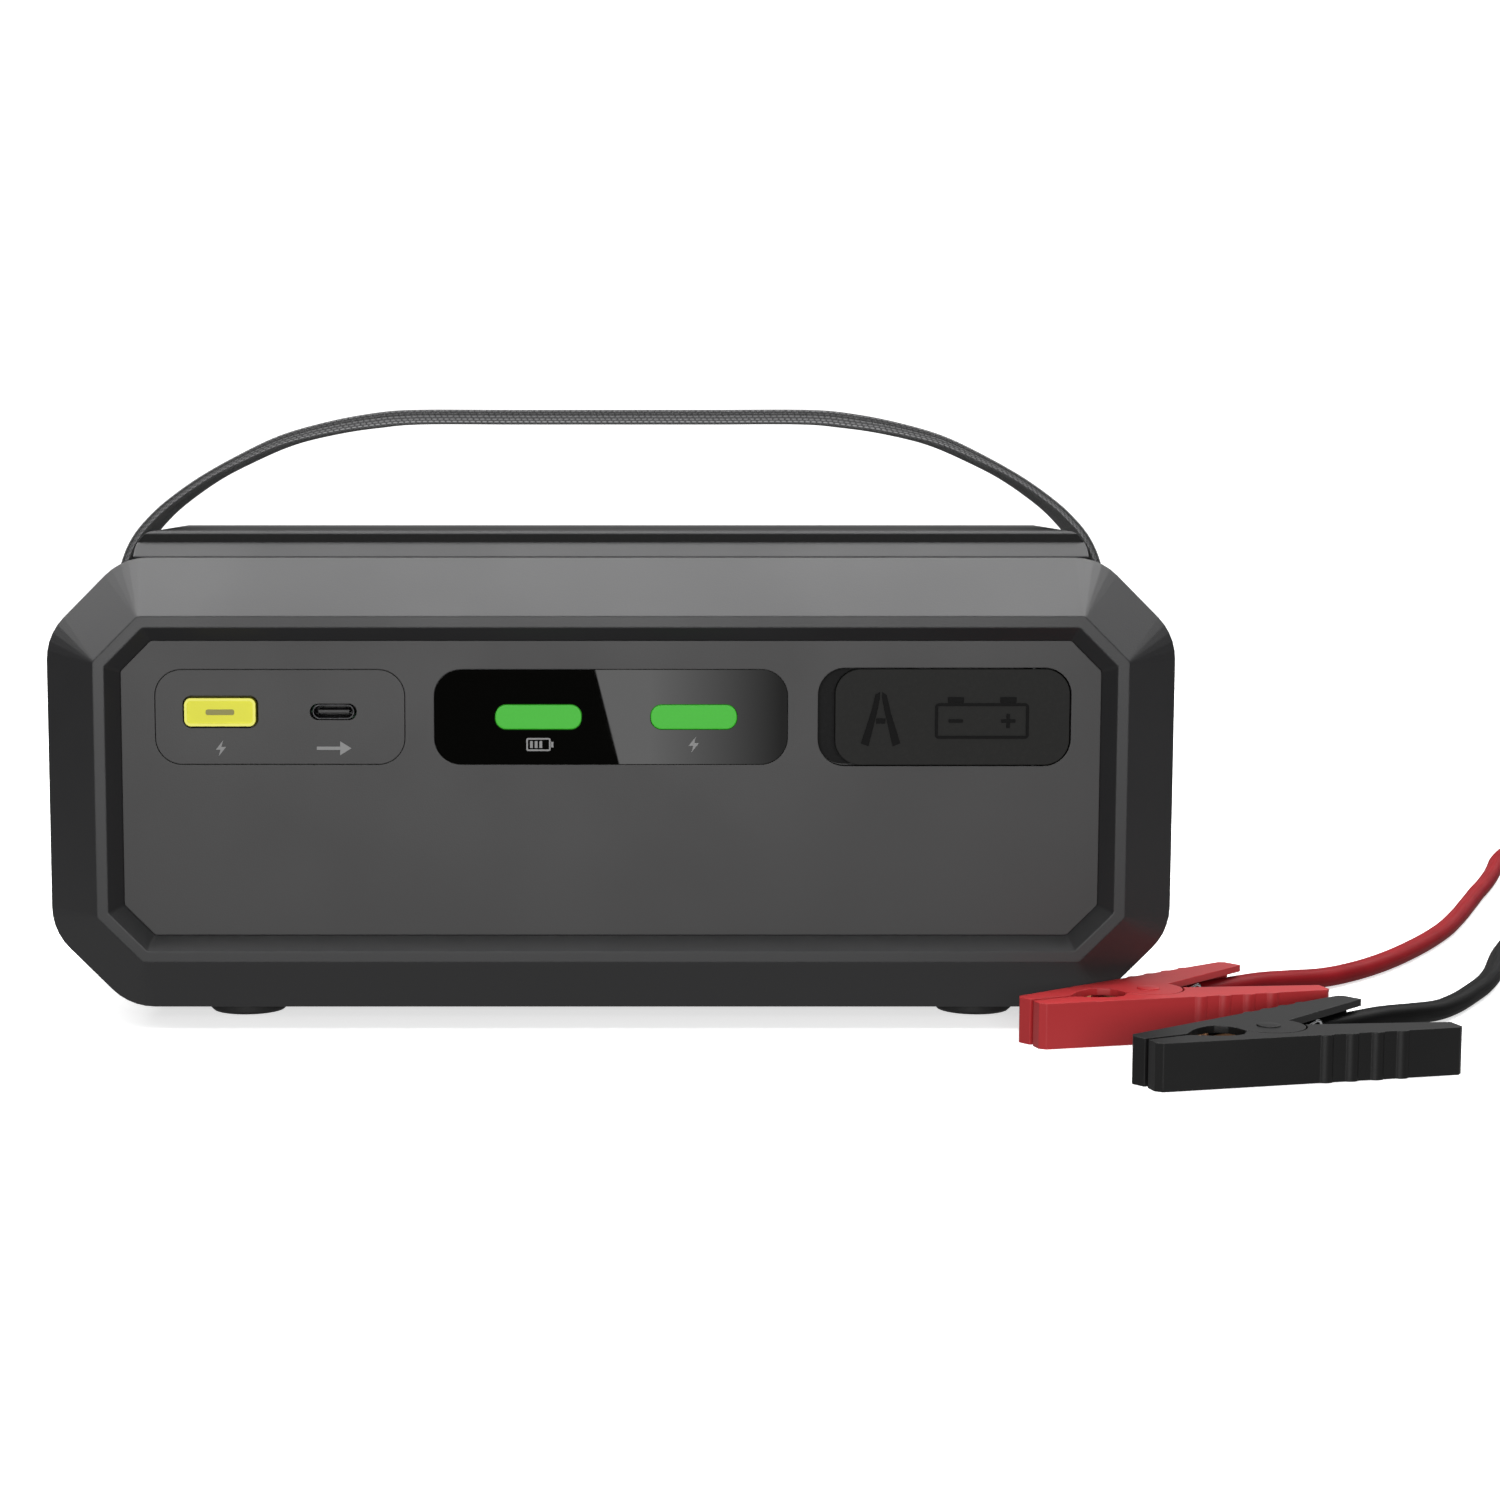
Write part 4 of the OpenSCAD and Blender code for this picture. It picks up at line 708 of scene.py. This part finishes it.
class JUMPSTARTER_OT_studio(Operator):
    """Make the camera, the floor with its curved backdrop, and the lights"""

    bl_idname = "jumpstarter.studio"
    bl_label = "Studio"

    def execute(self, context):
        studio = context.scene.jump_studio
        self.camera(context, studio)
        self.backdrop(context, studio)
        self.lights(context, studio)
        self.cards(context)
        context.scene.view_settings.view_transform = "Standard"
        return {"FINISHED"}

    def camera(self, context, studio):
        data = bpy.data.cameras.new("camera")
        data.lens = studio.lens
        data.sensor_width = 36
        data.shift_x = studio.shift
        data.clip_start, data.clip_end = 0.01, 50
        made = linked(context, "camera", data)
        made.location = (0, -studio.camera_back, studio.camera_up)
        made.rotation_euler = (math.pi / 2 - studio.camera_pitch, 0, 0)
        context.scene.camera = made

    def backdrop(self, context, studio):
        half_w, front, back, height, bend = 6.0, -4.0, 2.4, 2.0, 0.8
        bm = bmesh.new()
        first = bm.verts.new((-half_w, front, 0))
        last = bm.verts.new((-half_w, back - bend, 0))
        bm.edges.new((first, last))
        turned = bmesh.ops.spin(
            bm, geom=[last], cent=(-half_w, back - bend, bend), axis=(1, 0, 0),
            angle=math.pi / 2, steps=16, dvec=(0, 0, 0),
        )
        top = bmesh.ops.extrude_vert_indiv(bm, verts=turned["geom_last"])["verts"]
        bmesh.ops.translate(bm, vec=(0, 0, height), verts=top)
        sides = bmesh.ops.extrude_edge_only(bm, edges=bm.edges[:])["geom"]
        across = [g for g in sides if isinstance(g, bmesh.types.BMVert)]
        bmesh.ops.translate(bm, vec=(2 * half_w, 0, 0), verts=across)
        paper = pale_paper(studio.floor_colour, studio.floor_glow)
        made = stage_piece(context, "studio_backdrop", bm, paper)
        made.data.shade_smooth()
        made.visible_diffuse = made.visible_glossy = False

    def lights(self, context, studio):
        world = bpy.data.worlds.new("studio_world")
        world.use_nodes = True
        background = world.node_tree.nodes["Background"]
        background.inputs["Color"].default_value = (1, 1, 1, 1)
        background.inputs["Strength"].default_value = studio.sky
        context.scene.world = world
        target = (0.05, 0, 0.05)
        for name, place, size, power in (
            ("top_light", (0.05, 0.1, 1.3), (1.8, 0.45), studio.top_power),
            ("front_light", (-0.1, -1.9, 0.32), (1.2, 0.45), studio.front_power),
            ("left_light", (-1.3, 0.7, 1.2), (0.9, 0.9), studio.left_power),
            ("right_light", (1.3, 0.7, 1.2), (0.9, 0.9), studio.right_power),
        ):
            area_light(context, name, place, target, size, power)

    def cards(self, context):
        """Dark cards at both sides, and a slanted card in front for the window to reflect"""
        half_high, half_deep, side_y, side_z = 0.22, 0.7, -0.1, 0.18
        for name, x in (("studio_card_left", -0.75), ("studio_card_right", 0.95)):
            bm = bmesh.new()
            bmesh.ops.create_grid(bm, x_segments=1, y_segments=1, size=1)
            turn = Matrix.Translation((x, side_y, side_z)) @ Matrix.Rotation(math.pi / 2, 4, "Y")
            bmesh.ops.scale(bm, vec=(half_high, half_deep, 1), verts=bm.verts)
            bmesh.ops.transform(bm, matrix=turn, verts=bm.verts)
            made = stage_piece(context, name, bm, black_cloth())
            made.visible_camera = made.visible_shadow = False
        front_y, wide, low, high = -0.45, 150 * MM, 5 * MM, 55 * MM
        bm = bmesh.new()
        flat_face(bm, 0, (low + high) / 2, wide, high - low)
        bmesh.ops.translate(bm, vec=(0, front_y, 0), verts=bm.verts)
        material = reflector(
            edge_top=-6 * MM, edge_bottom=2.8 * MM, top=46 * MM, bottom=11.3 * MM,
            fade_start=14 * MM, fade_end=62 * MM, glow=2.9,
        )
        glossy_only(stage_piece(context, "studio_card_front", bm, material))


# ---------------------------------------- cables


def cable(context, name, route, settings, finish, replaced):
    """One silicone lead from its clamp to the plug"""
    line = smooth_line(route, 2 * MM)
    bm = bmesh.new()
    bmesh.ops.create_circle(
        bm, cap_ends=True, segments=settings.cable_sides, radius=settings.cable_dia / 2,
        matrix=Matrix.Rotation(math.pi / 2, 4, "Y"),
    )
    sweep(bm, bm.edges[:], stations(line, UPWARDS))
    made = piece(context, name, bm, finish, "lead_set")
    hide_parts(replaced)
    return made


class JUMPSTARTER_OT_cables(Operator):
    """Lay the two lead cables along their routes"""

    bl_idname = "jumpstarter.cables"
    bl_label = "Cables"

    def execute(self, context):
        lead = context.scene.jump_leads
        cable(context, "red_cable_jacket", RED_ROUTE, lead, "red_silicone", "red_cable")
        cable(context, "black_cable_jacket", BLACK_ROUTE, lead, "black_silicone", "black_cable")
        return {"FINISHED"}


# ---------------------------------------- case and strap


class JUMPSTARTER_OT_case(Operator):
    """Finish the case, its deck, feet, screws and seal"""

    bl_idname = "jumpstarter.case"
    bl_label = "Case"

    def execute(self, context):
        coat_as_recorded(
            context, "front_shell", "rear_shell", "case_gasket", "case_screws", "rubber_feet",
            "front_panel", "strap_bars",
        )
        coat(context, "deck_plastic", "top_deck")
        self.deck_wall_shade(context)
        return {"FINISHED"}

    def deck_wall_shade(self, context):
        """Dark rubber strips on the upright walls between the deck's skirt and its top: dark sheets that
        stand for painted shade on those walls
        """
        wall_y, proud = 25.6 * MM, 0.06 * MM
        low_x, low_z, high_x, high_z = 102.5, 103.85, 101.1, 105.5
        outline = [(-low_x, low_z), (low_x, low_z), (high_x, high_z), (-high_x, high_z)]
        for name, back in (("deck_wall_shade_front", -wall_y), ("deck_wall_shade_back", wall_y + proud)):
            bm = bmesh.new()
            flat_shape(bm, 0, 0, outline)
            thicken(bm, back, proud)
            piece(context, name, bm, "band_rubber", "pack", smooth=False)


def strap_section(strap):
    """Half of the strap's section from the groove over the upper ply, as (across, up) pairs"""
    half_w, half_t, groove, round_off = strap.width / 2, strap.thickness / 2, 0.2 * MM, 0.55 * MM
    split, shoulder = 0.2 * half_t, 0.3 * round_off
    upper = [
        (half_w - groove, split), (half_w, split + groove), (half_w, half_t - round_off),
        (half_w - shoulder, half_t - shoulder), (half_w - round_off, half_t),
    ]
    lower = [
        (half_w - round_off, -half_t), (half_w - shoulder, shoulder - half_t),
        (half_w, round_off - half_t), (half_w, split - groove),
    ]
    return upper, lower


def ring_of(upper, lower):
    """The whole section: over the upper ply from left to right, and back under the lower one"""
    left_up = [(-x, z) for x, z in upper]
    left_down = [(-x, z) for x, z in lower]
    return left_up + upper[::-1] + lower[::-1] + left_down


def top_ply_girth(strap):
    """Distance round the section that the upper ply takes"""
    upper, lower = strap_section(strap)
    ring = [Vector(p) for p in ring_of(upper, lower)]
    return length_of(ring[: 2 * len(upper)])


class JUMPSTARTER_OT_strap(Operator):
    """Sweep the two-ply webbing over the pack and sew its ends round the bars"""

    bl_idname = "jumpstarter.strap"
    bl_label = "Strap"

    def execute(self, context):
        strap = context.scene.jump_strap
        right = [(x, 0, z) for x, z in STRAP_LINE]
        left = [(-x, 0, z) for x, z in STRAP_LINE[:0:-1]]
        line = smooth_line(left + right, 1.5 * MM)
        web = self.web(context, strap, line)
        loops = self.loops(context, strap)
        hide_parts("carry_strap")
        return {"FINISHED"}

    def web(self, context, strap, line):
        bm = bmesh.new()
        bm.faces.new([bm.verts.new((0, x, z)) for x, z in ring_of(*strap_section(strap))])
        bm.verts.ensure_lookup_table()
        places = stations(line, UPWARDS)
        sweep(bm, bm.edges[:], [place @ self.thinned(strap, place) for place in places])
        return piece(context, "strap_web", bm, "strap_webbing", "pack")

    def thinned(self, strap, place):
        """Two plies over the grip run out to one at the ends"""
        grip_end, ply_end = 52 * MM, 88 * MM
        share = (abs(place.translation.x) - grip_end) / (ply_end - grip_end)
        left = 1 - strap.end_thickness / strap.thickness
        return Matrix.Diagonal((1, 1, 1 - left * min(1.0, max(0.0, share)), 1))

    def loops(self, context, strap):
        """The thinner ends that go round the bars"""
        low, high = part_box("strap_bars")
        bar_r, slack, half_w = (high.z - low.z) / 2, 0.2 * MM, strap.width / 2
        inner = bar_r + slack
        outer = inner + strap.end_thickness
        centre_x, centre_z = high.x - bar_r, (low.z + high.z) / 2
        bm = bmesh.new()
        for x in (-centre_x, centre_x):
            corners = [(inner, -half_w), (outer, -half_w), (outer, half_w), (inner, half_w)]
            face = bm.faces.new([bm.verts.new((x + r, y, centre_z)) for r, y in corners])
            geom = [face, *face.edges, *face.verts]
            bmesh.ops.spin(
                bm, geom=geom, cent=(x, 0, centre_z), axis=(0, 1, 0), angle=2 * math.pi, steps=32,
                use_merge=True, dvec=(0, 0, 0),
            )
        bmesh.ops.remove_doubles(bm, verts=bm.verts, dist=0.001 * MM)
        return piece(context, "strap_loops", bm, "strap_webbing", "pack")


# ---------------------------------------- controls


class JUMPSTARTER_OT_controls(Operator):
    """Finish the button, port, window and lenses, and print their symbols"""

    bl_idname = "jumpstarter.controls"
    bl_label = "Controls"

    def execute(self, context):
        control = context.scene.jump_controls
        coat_as_recorded(
            context, "port_plate", "boost_button", "usb_c_shell", "usb_c_tongue", "indicator_window",
            "charging_lens", "start_lens",
        )
        self.button_face(context, control)
        self.symbols(context, control)
        return {"FINISHED"}

    def button_face(self, context, control):
        """A raised rim round the button's face, lighter and faintly glowing as a painted highlight, and a
        dash in its middle that looks recessed
        """
        wide, high, corner, rim_t = 15.2 * MM, 6 * MM, 1.4 * MM, 0.2 * MM
        dash_w, dash_h, dash_corner, dash_t = 6.1 * MM, 1.2 * MM, 0.45 * MM, 0.08 * MM
        middle, face_y = middle_of("boost_button"), front_of("boost_button")
        bm = bmesh.new()
        flat_frame(bm, middle.x, middle.z, wide, high, corner, control.rim_w)
        thicken(bm, face_y, rim_t)
        piece(context, "button_rim", bm, "button_rim", "boost_button")
        bm = bmesh.new()
        flat_face(bm, middle.x, middle.z, dash_w, dash_h, dash_corner)
        thicken(bm, face_y, dash_t)
        piece(context, "button_dash", bm, "button_mark", "boost_button")

    def symbols(self, context, control):
        """A bolt and an arrow under the button and the port, a battery and a bolt under the lenses"""
        plate_z, window_z = 60.2 * MM, 61.0 * MM
        for name, draw, over, base, z, slot in (
            ("boost_symbol", bolt, "boost_button", "port_plate", plate_z, "panel_plastic"),
            ("port_symbol", arrow, "usb_c_shell", "port_plate", plate_z, "panel_plastic"),
            ("charging_symbol", battery, "charging_lens", "indicator_window", window_z, "window_plastic"),
            ("start_symbol", bolt, "start_lens", "indicator_window", window_z, "window_plastic"),
        ):
            bm = bmesh.new()
            draw(bm, middle_of(over).x, z)
            thicken(bm, front_of(base), control.print_t)
            piece(context, name, bm, "print", "pack", smooth=False)


def bolt(bm, x, z):
    """A lightning bolt 3.4 mm high"""
    flat_shape(bm, x, z, [(0.5, 1.7), (-1.1, -0.3), (-0.1, -0.3)])
    flat_shape(bm, x, z, [(-0.5, -1.7), (1.1, 0.3), (0.1, 0.3), (-0.1, -0.3)])


def arrow(bm, x, z):
    """An arrow to the right, 7.4 mm long"""
    flat_shape(bm, x, z, [(-3.6, -0.35), (1.4, -0.35), (1.4, 0.35), (-3.6, 0.35)])
    flat_shape(bm, x, z, [(1.4, -1.5), (3.8, 0), (1.4, 1.5)])


def battery(bm, x, z):
    """A battery on its side, 6 mm wide"""
    flat_frame(bm, x, z, 5.2 * MM, 2.8 * MM, 0.4 * MM, 0.35 * MM)
    flat_face(bm, x + 2.95 * MM, z, 0.5 * MM, 1.2 * MM)
    for dx in (-1.5, -0.5, 0.5):
        flat_face(bm, x + dx * MM, z, 0.6 * MM, 1.5 * MM)


# ---------------------------------------- output


class JUMPSTARTER_OT_output(Operator):
    """Finish the output cover with its raised symbols, and the socket behind it"""

    bl_idname = "jumpstarter.output"
    bl_label = "Output"

    def execute(self, context):
        control = context.scene.jump_controls
        coat_as_recorded(
            context, "output_cover", "output_socket", "socket_contacts", "socket_lead_positive",
            "socket_lead_negative",
        )
        coat(context, "blackened_steel", "cover_hinge_pin")
        self.notch_shade_pad(context)
        clamp_x, battery_x = 57.6 * MM, 79.2 * MM
        for name, draw, x in (("clamp", clamp_symbol, clamp_x), ("battery", terminal_symbol, battery_x)):
            bm = bmesh.new()
            draw(bm, x, middle_of("output_cover").z)
            thicken(bm, front_of("output_cover"), control.raised_t)
            piece(
                context, f"cover_{name}_symbol", bm, "cover_mark", "output_cover",
                smooth=False,
            )
        return {"FINISHED"}

    def notch_shade_pad(self, context):
        """A dark pad on the floor of the finger notch, which runs in under the cover: a dark sheet that
        stands for painted shade in the notch
        """
        pad_x, pad_w, corner, notch_depth, pad_t = 51.4 * MM, 14.1 * MM, 5.2 * MM, 2.9 * MM, 0.1 * MM
        low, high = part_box("output_cover")
        bm = bmesh.new()
        flat_face(bm, pad_x, (low.z + high.z) / 2, pad_w, high.z - low.z, corner)
        thicken(bm, low.y + notch_depth, pad_t)
        piece(context, "notch_shade_pad", bm, "band_rubber", "pack", smooth=False)


def clamp_symbol(bm, x, z):
    """A clamp seen from the side, 11.6 mm high, with its jaws up"""
    leg = [(2.6, -6.2), (4.2, -5.6), (2.1, 1.0), (1.2, 4.8), (0.25, 5.4), (0.25, 4.0), (0.9, 0.8)]
    for side in (-1, 1):
        flat_shape(bm, x, z, [(side * px, pz) for px, pz in leg])
    flat_face(bm, x, z - 0.8 * MM, 1.9 * MM, 1.1 * MM)


def terminal_symbol(bm, x, z):
    """A battery 20 mm wide with its two terminals and their signs"""
    terminal_x, terminal_z, body_z, line, bar = 5.6 * MM, z + 3.7 * MM, z - 0.8 * MM, 0.7 * MM, 3 * MM
    flat_frame(bm, x, body_z, 20 * MM, 7.6 * MM, 0.8 * MM, 0.6 * MM)
    for side in (-1, 1):
        flat_face(bm, x + side * terminal_x, terminal_z, 3.4 * MM, 1.2 * MM)
        flat_face(bm, x + side * terminal_x, body_z, bar, line)
    for side in (-1, 1):
        flat_face(bm, x + terminal_x, body_z + side * 0.93 * MM, line, 1.16 * MM)


# ---------------------------------------- clamps


class JUMPSTARTER_OT_clamps(Operator):
    """Finish both clamps and the plug, and cap the clamps' pivots"""

    bl_idname = "jumpstarter.clamps"
    bl_label = "Clamps and plug"

    def execute(self, context):
        parts = ("clamp_rear_half", "clamp_front_half", "clamp_pin", "jaw_rear", "jaw_front")
        coat_as_recorded(context, "plug_housing", "plug_pins")
        for side, route in (("red", RED_ROUTE), ("black", BLACK_ROUTE)):
            coat_as_recorded(context, *(f"{side}_{part}" for part in parts))
            self.pivot_cap(context, side)
            self.spring(context, side, route)
        return {"FINISHED"}

    def spring(self, context, side, route):
        """The spring in two pieces, so that its front leg turns with the front half"""
        name, coil_reach, merged = f"{side}_clamp_spring", 4 * MM, 0.001 * MM
        pivot = middle_of(f"{side}_clamp_pin")
        handle = (Vector(route[1]) - Vector(route[0])).normalized()
        for part, body in (("coil", "lead_set"), ("leg", f"{side}_clamp_front")):
            bm = bmesh.new()
            bm.from_mesh(frame["nodes"][name].data)
            bmesh.ops.remove_doubles(bm, verts=bm.verts, dist=merged)
            tip = {v for v in bm.verts if handle.cross(v.co - pivot).z < -coil_reach}
            other = [f for f in bm.faces if tip.isdisjoint(f.verts) == (part == "leg")]
            bmesh.ops.delete(bm, geom=other, context="FACES")
            bmesh.ops.holes_fill(bm, edges=[e for e in bm.edges if e.is_boundary])
            made = piece(context, f"{name}_{part}", bm, "spring_steel", body, crease=75)
            if part == "coil":
                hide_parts(name)

    def pivot_cap(self, context, side):
        """A low cap over the end of the pivot pin"""
        overhang, height, rounding = 0.9 * MM, 0.25 * MM, 0.15 * MM
        low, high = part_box(f"{side}_clamp_pin")
        middle = (low + high) / 2
        middle.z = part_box(f"{side}_clamp_rear_half")[1].z + height / 2
        radius = (high.x - low.x) / 2 + overhang
        bm = bmesh.new()
        bmesh.ops.create_cone(
            bm, cap_ends=True, segments=48, radius1=radius, radius2=radius, depth=height,
            matrix=Matrix.Translation(middle),
        )
        rim = [e for e in bm.edges if all(v.co.z > middle.z for v in e.verts)]
        bmesh.ops.bevel(
            bm, geom=rim, offset=rounding, segments=3, profile=0.5, affect="EDGES", material=-1
        )
        piece(context, f"{side}_pivot_cap", bm, f"clamp_{side}", "lead_set")


# ---------------------------------------- inside


class JUMPSTARTER_OT_inside(Operator):
    """Finish the boards, the capacitor bank and the rest of the inside"""

    bl_idname = "jumpstarter.inside"
    bl_label = "Inside"

    def execute(self, context):
        bank = [f"capacitor_{i}" for i in range(1, 6)]
        coat_as_recorded(
            context, "switch_plunger", "button_switch", "control_board", "board_screws", "indicator_leds",
            "buzzer", "signal_ribbon", "cell_cradle", "cell_retainer", *bank, "balance_board", "bus_bars",
            "power_board", "power_relay", "boost_inductor", "heat_sink", "power_transistors",
        )
        return {"FINISHED"}


# ---------------------------------------- panel and run


class JUMPSTARTER_PT_panel(Panel):
    """Sizes and colours, and a button for each group of pieces"""

    bl_idname = "JUMPSTARTER_PT_panel"
    bl_label = "Jump Starter"
    bl_space_type = "VIEW_3D"
    bl_region_type = "UI"
    bl_category = "Jump Starter"

    def draw(self, context):
        for attribute, group, operators in SECTIONS:
            box = self.layout.box()
            box.label(text=group.__doc__)
            for name in group.__annotations__:
                box.prop(getattr(context.scene, attribute), name)
            for operator in operators:
                box.operator(operator.bl_idname)


SECTIONS = (
    ("jump_studio", StudioSettings, (JUMPSTARTER_OT_studio,)),
    ("jump_leads", LeadSettings, (JUMPSTARTER_OT_cables, JUMPSTARTER_OT_clamps)),
    ("jump_case", CaseSettings, (JUMPSTARTER_OT_case, JUMPSTARTER_OT_inside)),
    ("jump_strap", StrapSettings, (JUMPSTARTER_OT_strap,)),
    ("jump_controls", ControlSettings, (JUMPSTARTER_OT_controls, JUMPSTARTER_OT_output)),
)


def register():
    for attribute, group, operators in SECTIONS:
        bpy.utils.register_class(group)
        setattr(bpy.types.Scene, attribute, PointerProperty(type=group))
        for operator in operators:
            bpy.utils.register_class(operator)
    bpy.utils.register_class(JUMPSTARTER_PT_panel)


def unregister():
    bpy.utils.unregister_class(JUMPSTARTER_PT_panel)
    for attribute, group, operators in reversed(SECTIONS):
        for operator in reversed(operators):
            bpy.utils.unregister_class(operator)
        delattr(bpy.types.Scene, attribute)
        bpy.utils.unregister_class(group)


def main():
    register()
    bpy.ops.jumpstarter.studio()
    bpy.ops.jumpstarter.cables()
    bpy.ops.jumpstarter.case()
    bpy.ops.jumpstarter.strap()
    bpy.ops.jumpstarter.controls()
    bpy.ops.jumpstarter.output()
    bpy.ops.jumpstarter.clamps()
    bpy.ops.jumpstarter.inside()


if __name__ == "__main__":
    main()
